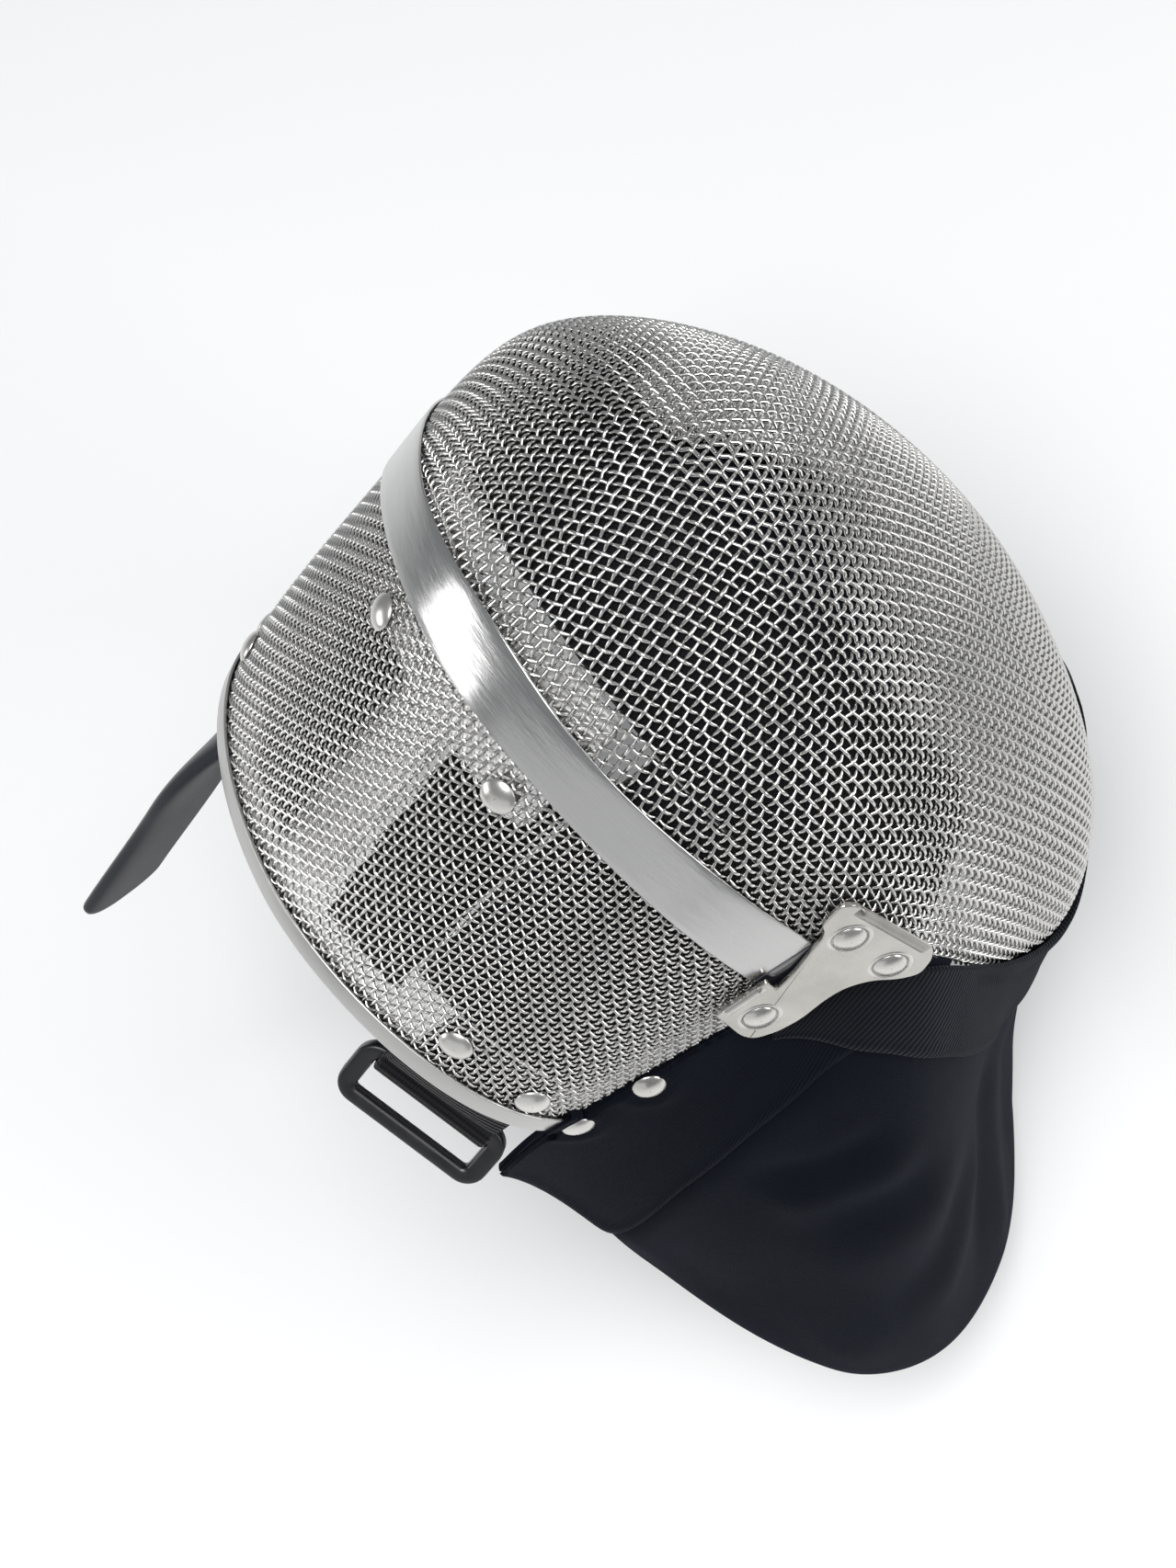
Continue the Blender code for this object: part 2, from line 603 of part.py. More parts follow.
def rounded_path(half_long, half_short, radius, per_corner=4):
    pts = []
    for sx, sy, a0 in ((1, 1, 0), (-1, 1, 90), (-1, -1, 180), (1, -1, 270)):
        for a in np.radians(np.linspace(a0, a0 + 90, per_corner)):
            pts.append((sx * (half_long - radius) + radius * np.cos(a),
                        sy * (half_short - radius) + radius * np.sin(a), np.cos(a), np.sin(a)))
    return pts


def ring(name, centre, ax, ay, az, path, half_w, half_h, mat):
    """Closed loop with an eight-sided bar section."""
    sect = []
    for a in np.radians(np.arange(0, 360, 45) + 22.5):
        sect.append((np.sign(np.cos(a)) * abs(np.cos(a)) ** 0.7 * half_w,
                     np.sign(np.sin(a)) * abs(np.sin(a)) ** 0.7 * half_h))
    verts = []
    for px, py, nx, ny in path:
        for w_, h_ in sect:
            verts.append(centre + (px + nx * w_) * ax + (py + ny * w_) * ay + h_ * az)
    n, m = len(path), len(sect)
    faces = []
    for i in range(n):
        for j in range(m):
            a, b = i * m + j, i * m + (j + 1) % m
            c, d = ((i + 1) % n) * m + (j + 1) % m, ((i + 1) % n) * m + j
            faces.append((a, b, c, d))
    return add(name, verts, faces, mat)


bar = BUCKLE_BAR / 2
path = rounded_path(BUCKLE_LONG / 2 - bar, BUCKLE_SHORT / 2 - bar, 4.5)
ring("strap_buckle", BUCKLE_AT, AX_LONG, AX_OUT, AX_UP, path, bar, bar, "gloss_black")


def sheet_solid(name, middle, thick, mat):
    """Closed wall of even thickness on both sides of a grid of points."""
    a = np.gradient(middle, axis=0)
    b = np.gradient(middle, axis=1)
    n = np.cross(a, b)
    n /= np.linalg.norm(n, axis=-1, keepdims=True)
    return slab(name, middle + n * thick / 2, middle - n * thick / 2, mat)


STRAP_DEG = 57.0
ACROSS = np.linspace(-0.5, 0.5, 7)


def strap_inside(side, t_at, off, width=STRAP_WIDTH, middle_deg=STRAP_DEG):
    """Row of points across a strap that lies against the inside of the shell."""
    table = deg(np.linspace(middle_deg - 30, middle_deg + 30, 121)) * side
    line = shell(np.full(121, t_at), table, off)
    run = np.concatenate([[0], np.cumsum(np.linalg.norm(np.diff(line, axis=0), axis=1))])
    run -= run[60]
    return np.stack([np.interp(ACROSS * width, run, line[:, k]) for k in range(3)], 1)


bar_at = BUCKLE_AT - AX_OUT * (BUCKLE_SHORT / 2 - bar)
wrap = bar * 1.15 + GAP + 0.2 + STRAP_THICK / 2
rows = [strap_inside(1, t_at, off) for t_at, off in
        ((0.42, -2.9), (0.34, -3.1), (0.26, -3.6), (0.18, -4.2), (0.06, -4.3))]
over = bar_at + AX_UP * wrap - AX_OUT * 2.5
flat_row = over + ACROSS[:, None] * STRAP_WIDTH * AX_LONG
out_dir = rows[-1] - rows[-2]
out_dir /= np.linalg.norm(out_dir, axis=1, keepdims=True)
first = rows[-1]
for share in (0.25, 0.5, 0.75, 1.0):
    bow = out_dir * 16.0 * share * (1 - share)
    rows.append(first + (flat_row - first) * share + bow)
for ang in np.radians((80, 50, 20, -10, -40, -70, -100)):
    at = bar_at + AX_UP * wrap * np.sin(ang) + AX_OUT * wrap * np.cos(ang)
    rows.append(at + ACROSS[:, None] * STRAP_WIDTH * AX_LONG)
sheet_solid("strap_loop", np.array(rows), STRAP_THICK, "webbing_black")

# Padded strap on the left, leaving under the rim with a free end.
sleeve_pts = [shell(t_at, deg(-62.0), off) for t_at, off in ((0.42, -9.0), (0.26, -9.3), (0.08, -10.0))]
sleeve_w = [np.array([0.69, -0.27, -0.67])] * 3
for p, w_dir in (((60.5, 78.5, -103.0), (0.40, -0.55, -0.73)), ((61.0, 94.0, -118.0), (0.31, -0.66, -0.68)),
                 ((61.5, 112.0, -135.5), (0.31, -0.66, -0.68)), ((62.0, 129.5, -152.5), (0.31, -0.66, -0.68))):
    sleeve_pts.append(np.array(p))
    sleeve_w.append(np.array(w_dir))


def sleeve(name, centres, widths, half_w, half_t, mat):
    centres = np.asarray(centres, float)
    s = np.linspace(0, len(centres) - 1, 19)
    line = spline(centres, s)
    wdir = spline(np.asarray(widths), s)
    tangent = np.gradient(line, axis=0)
    rings = []
    for k in range(len(s)):
        t_dir = tangent[k] / np.linalg.norm(tangent[k])
        w_dir = wdir[k] - t_dir * np.dot(wdir[k], t_dir)
        w_dir /= np.linalg.norm(w_dir)
        up = np.cross(t_dir, w_dir)
        a = np.arange(12) / 12 * 2 * np.pi
        ca = np.sign(np.cos(a)) * np.abs(np.cos(a)) ** 0.8
        sa = np.sign(np.sin(a)) * np.abs(np.sin(a)) ** 0.8
        thin = 0.45 if k == 0 else 1.0
        rings.append(line[k] + half_w * ca[:, None] * w_dir + thin * half_t * sa[:, None] * up)
    return tube(name, rings, mat)


sleeve("strap_sleeve_left", sleeve_pts, sleeve_w, SLEEVE_WIDTH / 2, SLEEVE_THICK / 2, "sleeve_cloth")
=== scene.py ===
# %% [markdown]
# # A fencing mask
# The mask is a shell of woven steel wire in two parts, a coarse cloth over the face and a finer one over
# the crown. A satin steel band covers their joint, a folded channel binds the rear edge, and a padded
# cloth bib hangs from the lower edge. The packed solids give every piece its place and size. This script
# puts the finished surfaces around them, in the same metres and axes: the face looks along -Y, the
# wearer's right is -X and up is +Z. The cube, light and camera of Blender's start scene are taken out first.

# %% Load the packed frame
import json

import bpy
import numpy as np
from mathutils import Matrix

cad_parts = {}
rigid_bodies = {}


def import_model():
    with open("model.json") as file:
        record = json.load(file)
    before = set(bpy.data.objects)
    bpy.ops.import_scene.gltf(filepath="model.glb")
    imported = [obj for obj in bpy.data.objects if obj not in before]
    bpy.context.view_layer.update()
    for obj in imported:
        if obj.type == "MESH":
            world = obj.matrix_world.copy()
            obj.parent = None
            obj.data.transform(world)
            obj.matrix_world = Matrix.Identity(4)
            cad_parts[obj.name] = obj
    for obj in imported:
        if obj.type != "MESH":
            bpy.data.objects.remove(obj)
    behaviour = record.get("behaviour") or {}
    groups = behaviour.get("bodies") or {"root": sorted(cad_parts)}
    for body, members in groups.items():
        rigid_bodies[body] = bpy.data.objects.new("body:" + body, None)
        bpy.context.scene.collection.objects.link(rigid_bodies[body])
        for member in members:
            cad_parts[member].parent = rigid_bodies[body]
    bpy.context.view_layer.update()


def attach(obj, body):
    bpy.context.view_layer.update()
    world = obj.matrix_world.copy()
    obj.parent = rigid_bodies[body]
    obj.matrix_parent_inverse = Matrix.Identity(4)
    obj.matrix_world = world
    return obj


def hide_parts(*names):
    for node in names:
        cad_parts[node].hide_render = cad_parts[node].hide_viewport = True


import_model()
for start_piece in [o for o in bpy.data.objects if o.name in ("Cube", "Light", "Camera")]:
    bpy.data.objects.remove(start_piece)
MM = 0.001

# %% [markdown]
# ## The camera
# The photograph looks down on the mask's right side from above the crown. Solving the shell, the rim and
# the rivets against it gave one camera place, three turns and a focal length. It is set first, so that
# every later look is judged in the same frame.

# %% Camera
camera = bpy.data.objects.new("camera", bpy.data.cameras.new("camera"))
bpy.context.scene.collection.objects.link(camera)
camera.location = (-0.2256, -0.0163, 0.5783)
camera.rotation_euler = np.radians((14.602, 10.310, -121.578))
camera.data.sensor_width = 36.0
camera.data.lens = 60.29
camera.data.clip_start = 0.01
bpy.context.scene.camera = camera
print("camera:", round(camera.data.lens, 2), "mm lens at", tuple(round(c, 3) for c in camera.location))

# %% [markdown]
# ## One surface for the whole shell
# Nine arches, from the rear rim over the crown to the chin, carry the shell. Each row gives where the
# arch crosses the centre plane, its half width and where its foot is. A cubic through the rows gives
# every arch between them, so wires, band, rim, pads and rivets all sit on the same formula.

# %% Arches
SECTIONS = np.array([
    # crown y, crown z, half width, foot y, foot z, in millimetres
    (82.5, -73.0, 79.7, 51.7, -107.2),
    (38.3, -24.5, 84.6, 17.4, -93.8),
    (6.7, 2.9, 88.5, -17.2, -86.0),
    (-10.2, 15.2, 93.1, -39.3, -84.2),
    (-59.2, 27.4, 98.8, -55.0, -97.5),
    (-101.1, -11.2, 100.5, -69.0, -140.7),
    (-127.3, -80.6, 97.1, -87.3, -181.9),
    (-142.5, -157.3, 81.4, -111.1, -207.8),
    (-144.7, -226.5, 18.0, -150.2, -230.7),
])
deg = np.radians


def unit(v):
    """Every vector divided by its own length."""
    return v / np.maximum(np.linalg.norm(v, axis=-1, keepdims=True), 1e-12)


def second_differences(rows):
    """Second derivatives of the cubic through evenly spaced rows, with not-a-knot ends."""
    n = len(rows)
    a = np.diag(np.full(n, 4.0)) + np.diag(np.ones(n - 1), 1) + np.diag(np.ones(n - 1), -1)
    b = np.zeros_like(rows)
    b[1:-1] = 6 * (rows[2:] - 2 * rows[1:-1] + rows[:-2])
    a[0], a[-1] = 0, 0
    a[0, :3] = a[-1, -3:] = (1, -2, 1)
    return np.linalg.solve(a, b)


def cubic(rows, bend, at):
    """Rows read at any station: the straight mix of two rows plus the bend that both second derivatives
    add."""
    i = np.clip(np.floor(np.nan_to_num(at)).astype(int), 0, len(rows) - 2)
    s = (at - i)[..., None]
    r = 1 - s
    bent = (bend[i] * r**3 + bend[i + 1] * s**3) / 6
    return bent + (rows[i] - bend[i] / 6) * r + (rows[i + 1] - bend[i + 1] / 6) * s


SECTION_BEND = second_differences(SECTIONS)
print("arches:", len(SECTIONS), "widest", 2 * SECTIONS[:, 2].max(), "mm")

# %% [markdown]
# ## From arches to a surface
# Pressed wire cloth is a little more pointed than an ellipse, so each arch is a superellipse. A mesh moulded
# by hand could follow it too, but on a formula any wire, strip or rivet can ask for a point and the
# direction that stands upright there, and all of them agree.

# %% Shell surface
def smooth_step(x):
    """Nought to one with level ends: three squares less two cubes."""
    x = np.clip(x, 0, 1)
    return x * x * (3 - 2 * x)


def shell_middle(t, phi):
    """Middle of the wire cloth at station t along the crown and angle phi round the arch. The arch is a
    superellipse of power 1.8: cosine and sine raised to 1/1.8 twice over, eased where they cross nought."""
    crown_y, crown_z, half_width, foot_y, foot_z = np.moveaxis(cubic(SECTIONS, SECTION_BEND, t), -1, 0)
    c, s, k = np.cos(phi), np.sin(phi), 1 / 1.8 - 0.5
    up = c * ((c * c + 0.02) / 1.02) ** k
    side = s * ((s * s + 0.02) / 1.02) ** k
    return np.stack([-half_width * side, foot_y + (crown_y - foot_y) * up,
                     foot_z + (crown_z - foot_z) * up], -1)


def outward(surface, u, v, du, dv, centre):
    """Unit normal of a surface from small steps in its two parameters, turned away from the centre."""
    a = surface(u + du, v) - surface(u - du, v)
    b = surface(u, v + dv) - surface(u, v - dv)
    n = unit(np.cross(a, b))
    return n * np.sign(np.sum(n * (surface(u, v) - np.array(centre)), -1, keepdims=True))


def shell_normal(t, phi):
    """Outward unit normal of the shell."""
    return outward(shell_middle, np.clip(t, 0.02, 7.98), np.clip(phi, -1.5, 1.5), 0.02, 0.02, (0, -40, -110))


def shell(t, phi, off=0.0):
    """Shell moved outward by off millimetres."""
    t, phi, off = np.broadcast_arrays(np.asarray(t, float), np.asarray(phi, float), np.asarray(off, float))
    return shell_middle(t, phi) + shell_normal(t, phi) * off[..., None]


half_turn = deg(np.linspace(-90, 90, 181))
print("shell width", round(float(np.ptp(shell(5.0, half_turn)[:, 0])), 1), "mm")

# %% [markdown]
# ## The bib's surface
# The bib hangs from the shell's foot and flares to the hem. Each station of its table gives where it
# starts on the shell, where its hem is, and how it first swings: sideways, backward, down. A quadratic
# curve joins the three points, and a cubic joins the stations. The left side hangs a little closer, for
# in the photograph nothing of it shows past the crown. Ahead of the cheek the bib starts inside the wire
# cloth. The line where it starts also rounds the cloth's corners at the chin.

# %% Table of the bib
BIB = [
    # station on the shell's foot, hem x, y, z, and share of the way taken sideways, back, down at the start
    (0.0, -75.0, 74.0, -140.0, 0.50, 0.50, 0.34),
    (0.9, -96.0, 62.0, -185.0, 0.55, 0.55, 0.32),
    (1.9, -128.0, 51.0, -224.0, 0.58, 0.58, 0.30),
    (3.0, -156.0, 36.0, -250.0, 0.60, 0.60, 0.28),
    (4.0, -171.0, 15.0, -276.0, 0.60, 0.60, 0.27),
    (5.0, -168.0, -13.0, -300.0, 0.56, 0.74, 0.29),
    (6.0, -144.0, -43.0, -322.0, 0.28, 0.84, 0.31),
    (7.0, -104.0, -68.0, -336.0, 0.26, 0.75, 0.32),
    (7.8, -52.0, -92.0, -343.0, 0.30, 0.60, 0.33),
]
BIB_FRONT = (8.0, 0.0, -104.0, -345.0, 0.30, 0.38, 0.33)
BIB_LEFT = {1: (93.0, 0.52), 2: (119.0, 0.48), 3: (143.0, 0.46), 4: (158.0, 0.46), 5: (160.0, 0.50)}
BIB_INSET = np.array([(4.4, 0.0), (5.5, 2.0), (8.0, 2.0)])


def left_row(k):
    """A row of the table for the left side: mirrored, and where the left hangs closer with its own hem and
    swing."""
    t, x, y, z, sideways, back, low = BIB[k]
    x, sideways = BIB_LEFT.get(k, (-x, sideways))
    return t, x, y, z, sideways, back, low


BIB_ROWS = np.array(BIB + [BIB_FRONT] + [left_row(k) for k in range(len(BIB))][::-1])
BIB_BEND = second_differences(BIB_ROWS)
BIB_LAST = len(BIB_ROWS) - 1.0
BIB_MID = BIB_LAST / 2
print("bib stations:", len(BIB_ROWS))

# %% [markdown]
# ## From the table to the cloth
# Stiff padded cloth leaves its seam in one direction and turns to another before the hem, which is what a
# quadratic curve does with its middle point. So two numbers place any point of the bib: one along the seam
# and one down the cloth.

# %% Bib surface
def foot(u):
    """Where a bib station starts on the shell: its row, station and arch angle, and 0 in front to 1 at
    the sides."""
    row = cubic(BIB_ROWS, BIB_BEND, u)
    front = np.clip(np.abs(u - BIB_MID) / 1.2, 0, 1)
    return row, np.clip(row[..., 0], 0, 8), deg(90) * np.sign(BIB_MID - u) * front**0.6, front


def bib_middle(u, v):
    """Middle of the bib's cloth: u counts stations from the right rear corner to the left one, v goes from
    the shell's foot to the hem along a quadratic curve."""
    row, t, phi, front = foot(u)
    start = shell(t, phi, -np.interp(t, *BIB_INSET.T))
    hem = row[..., 1:4]
    turn = start + (hem - start) * row[..., 4:7]
    start = start + unit(turn - start) * 1.6
    start = start + np.array([0, 0, -1.8]) * np.clip(1.6 - front, 0, 1)[..., None]
    w = v[..., None]
    return (1 - w) ** 2 * start + 2 * w * (1 - w) * turn + w**2 * hem


def bib(u, v, off=0.0):
    """Bib moved outward by off millimetres."""
    u, v, off = np.broadcast_arrays(np.asarray(u, float), np.asarray(v, float), np.asarray(off, float))
    n = outward(bib_middle, np.clip(u, 0.05, BIB_LAST - 0.05), np.clip(v, 0.02, 0.98), 0.05, 0.02,
                (0, -20, -230))
    return bib_middle(u, v) + n * off[..., None]


def station_to_u(t):
    """Place along the bib, from the right rear corner, of a station on the shell's foot."""
    return np.interp(t, [r[0] for r in BIB] + [8.0], np.arange(len(BIB) + 1))


def edge_arch(t):
    """Largest arch angle of the wire cloth at a station, from the line where the bib starts."""
    _, at_t, at_phi, _ = foot(np.linspace(BIB_MID - 1.2, BIB_MID, 61))
    return np.interp(t, at_t, np.abs(at_phi))


hem_line = bib_middle(np.linspace(0, BIB_LAST, 400), np.ones(400))
print("hem length", round(float(np.sum(np.linalg.norm(np.diff(hem_line, axis=0), axis=1)))), "mm")

# %% [markdown]
# ## From arrays to a piece
# A grid of points becomes a mesh in one step: quads join neighbours, and a wrapped direction joins its
# last row to its first. Closed pieces are turned outwards by the sign of their volume. Each piece keeps
# a UV map in metres, so that cloth and grain have their true size.

# %% Faces and pieces
def quads(n, m, wrap=False):
    """Corner numbers of the quads of an n by m grid; wrap joins the last column to the first."""
    i = np.arange(n - 1)[:, None]
    j = np.arange(m if wrap else m - 1)[None, :]
    k = (j + 1) % m
    return np.stack([i * m + j, (i + 1) * m + j, (i + 1) * m + k, i * m + k], -1).reshape(-1, 4)


def outward_faces(points, faces, groups):
    """Faces turned round if the volume under them, summed about their middle, is below nought."""
    p = points - points.mean(0)
    a, b, c, d = (p[faces[:, k]] for k in range(4))
    volume = np.sum(a * np.cross(b, c)) + np.sum(a * np.cross(c, d))
    if volume >= 0:
        return faces, groups
    return faces[:, ::-1], [g[::-1] for g in groups]


made = {}


def piece(name, points, faces, replaces=(), uv=None, caps=(), sharp=None):
    """A smooth mesh object from millimetre points, quads and a few larger end faces, riding on the frame.
    With sharp, edges that turn by more than that many degrees stay sharp."""
    faces, caps = outward_faces(points, faces, [np.asarray(c) for c in caps])
    mesh = bpy.data.meshes.new(name)
    loops = np.concatenate([faces.ravel()] + list(caps)).astype(np.int32)
    sizes = np.concatenate([np.full(len(faces), 4), [len(c) for c in caps]]).astype(np.int32)
    mesh.vertices.add(len(points))
    mesh.vertices.foreach_set("co", (points * MM).astype(np.float32).ravel())
    mesh.loops.add(len(loops))
    mesh.loops.foreach_set("vertex_index", loops)
    mesh.polygons.add(len(sizes))
    mesh.polygons.foreach_set("loop_start", np.concatenate([[0], np.cumsum(sizes)[:-1]]).astype(np.int32))
    mesh.update(calc_edges=True)
    mesh.validate()
    mesh.polygons.foreach_set("use_smooth", np.full(len(mesh.polygons), True))
    if uv is not None:
        layer = mesh.uv_layers.new(name="UVMap")
        layer.data.foreach_set("uv", (uv[loops] * MM).astype(np.float32).ravel())
    obj = bpy.data.objects.new(name, mesh)
    bpy.context.scene.collection.objects.link(obj)
    if sharp is not None:
        for o in bpy.context.selected_objects:
            o.select_set(False)
        bpy.context.view_layer.objects.active = obj
        obj.select_set(True)
        bpy.ops.object.shade_smooth_by_angle(angle=deg(sharp))
        obj.select_set(False)
    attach(obj, "root")
    if replaces:
        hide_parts(*([replaces] if isinstance(replaces, str) else replaces))
    mesh.calc_loop_triangles()
    made[name] = len(mesh.loop_triangles)
    return obj


print("a sheet of 3 by 4 points has", len(quads(3, 4)), "quads")

# %% [markdown]
# ## From a surface to a sheet
# Cloth, strip steel and pads are all sheets with a thickness. A Solidify modifier could thicken them, but it
# leaves square edges, and one thickness all over. Here a sheet has its own height for each of its faces, so
# it can swell or thin out, and its long edges are round, as a fold or a filed edge is.

# %% Walls
def arc_lengths(points, axis=0):
    """Distance run along one axis of a grid of points, from its start."""
    step = np.linalg.norm(np.diff(points, axis=axis), axis=-1)
    pad = [(0, 0)] * step.ndim
    pad[axis] = (1, 0)
    return np.pad(np.cumsum(step, axis=axis), pad)


def wall(name, surface, u, v, low, high, replaces=(), rim=3, sharp=None):
    """Closed sheet between two heights over a surface of (u, v). Its two long edges are half rounds: height
    follows a cosine and reach beyond the edge a sine. The ends in u are closed flat."""
    u, v = np.asarray(u, float), np.asarray(v, float)
    vv = v if v.ndim == 2 else np.broadcast_to(v[None, :], (len(u), len(v)))
    uu, low, high = (np.broadcast_to(np.asarray(x, float), vv.shape) for x in (u[:, None], low, high))
    top, bottom = surface(uu, vv, high), surface(uu, vv, low)
    ang = np.linspace(0, np.pi, rim + 2)[1:-1]

    def edge(k, inner):
        out = unit((top[:, k] + bottom[:, k]) - (top[:, inner] + bottom[:, inner]))[:, None]
        mid, up = (top[:, k] + bottom[:, k])[:, None] / 2, (top[:, k] - bottom[:, k])[:, None] / 2
        half = np.linalg.norm(up, axis=-1, keepdims=True)
        return mid + up * np.cos(ang)[None, :, None] + out * half * np.sin(ang)[None, :, None]

    loop = np.concatenate([top, edge(-1, -2), bottom[:, ::-1], edge(0, 1)[:, ::-1]], 1)
    n, m = loop.shape[:2]
    around = arc_lengths(np.concatenate([loop, loop[:, :1]], 1), 1)
    along = np.broadcast_to(arc_lengths(loop[:, :1])[:, :1], around.shape)
    uv = np.stack([along, around], -1)
    points = loop.reshape(-1, 3)
    caps = [np.arange(m)[::-1], np.arange(m) + (n - 1) * m]
    return piece(name, points, quads(n, m, True), replaces, uv[:, :-1].reshape(-1, 2), caps, sharp)


print("a quarter turn of radius 10 mm is", round(float(arc_lengths(10 * np.stack(
    [np.cos(half_turn[90:]), np.sin(half_turn[90:])], 1))[-1]), 2), "mm long")

# %% [markdown]
# ## Where the two wire cloths meet
# The two cloths end under the crown band. The band's two edges come from one short table, so that the
# strip and the wires that stop just inside its edges always agree.

# %% Edges of the crown band
BAND_EDGES = np.array([
    # rear and front edge, as stations, at every 15 degrees of the arch angle
    (2.07, 2.98), (2.10, 2.945), (2.12, 2.92), (2.125, 2.965), (2.13, 3.005), (2.13, 3.03), (2.13, 3.035),
])
BAND_BEND = second_differences(BAND_EDGES)
TUCKED = 0.065


def band_edge(phi, k):
    """Station of the band's rear (0) or front (1) edge at an arch angle, alike on both sides."""
    return cubic(BAND_EDGES, BAND_BEND, np.clip(np.abs(phi) / deg(15), 0, 6))[..., k]


def under_front(phi):
    """Where the face cloth starts: just under the band's front edge."""
    return band_edge(np.nan_to_num(phi), 1) - TUCKED


def under_rear(phi):
    """Where the crown cloth ends: just under the band's rear edge."""
    return band_edge(np.nan_to_num(phi), 0) + TUCKED


edge_points = [shell(band_edge(half_turn, k), half_turn)[90] for k in (0, 1)]
print("band width at the crown", round(float(np.linalg.norm(edge_points[1] - edge_points[0])), 1), "mm")

# %% [markdown]
# ## Laying the wire cloth
# Wire cloth starts as a flat square weave and is pressed into a dome. A net of knots one pitch apart is
# first thought flat, touching the dome at its deepest point. Then every knot walks from that point in its
# own direction, straight ahead over the surface, for its own distance and a little more, for pressing
# stretches the cloth towards its border. Round the dome the wires so come closer in one way and turn
# into diamonds, as they do in the photograph, and the net stays smooth everywhere.

# %% Net of crossings
def slopes(t, phi, e=1e-3):
    """How a point of the shell moves with t and with phi."""
    return ((shell_middle(t + e, phi) - shell_middle(t - e, phi)) / (2 * e),
            (shell_middle(t, phi + e) - shell_middle(t, phi - e)) / (2 * e))


def wire_net(start, turn, skew, pitch, stretch, count, t_range, phi_most, steps=40):
    """Stations and angles of all crossings. The two families leave the start at the angles turn and
    turn + skew from the crown line. A knot at r millimetres walks r (1 + stretch q / (1 + 0.35 q)), with q
    the square of r / 100. Each small move is shared out between t and phi by least squares in the two
    slopes."""
    a, b = (x[0] for x in slopes(*(np.array([x]) for x in start)))
    a = unit(a)
    b = unit(np.cross(np.cross(a, b), a))
    one, two = (np.cos(deg(lean)) * a + np.sin(deg(lean)) * b for lean in (turn, turn + skew))
    number = np.arange(-count, count + 1)
    way = number[:, None, None] * one * pitch[0] + number[None, :, None] * two * pitch[1]
    r = np.linalg.norm(way, axis=-1, keepdims=True)
    q = (r / 100) ** 2
    far, way = r * (1 + stretch * q / (1 + 0.35 * q)) / steps, unit(way)
    t, phi = np.full(r.shape[:2], start[0]), np.full(r.shape[:2], start[1])
    for _ in range(steps):
        a, b = slopes(t, phi)
        normal = unit(np.cross(a, b))
        way = unit(way - normal * np.sum(way * normal, -1, keepdims=True))
        aa, ab, bb = np.sum(a * a, -1), np.sum(a * b, -1), np.sum(b * b, -1)
        ma, mb = np.sum(way * far * a, -1), np.sum(way * far * b, -1)
        det = np.maximum(aa * bb - ab * ab, 1e-6)
        t, phi = t + (ma * bb - mb * ab) / det, phi + (mb * aa - ma * ab) / det
        out = (t < t_range[0]) | (t > t_range[1]) | (np.abs(phi) > phi_most)
        t, phi = np.where(out, np.nan, t), np.where(out, np.nan, phi)
    return t, phi


crown_slopes = slopes(np.array([2.5]), np.array([0.0]))
print("at the crown a station is", round(float(np.linalg.norm(crown_slopes[0])), 1), "mm long")

# %% [markdown]
# ## Wires along the net
# In a plain weave each wire goes over one crossing wire and under the next. Along a wire the crossings
# come at whole numbers; two points a quarter of a pitch either side of each crossing lie half a wire
# above or below the middle surface, which gives the flat-topped wave of crimped wire. Each wire is a
# six-sided tube. Where it meets the edge of the cloth its last point is moved back onto the edge.

# %% Tubes over and under
SIDES = 6
MM_PER_STATION, MM_PER_RADIAN = 40, 100


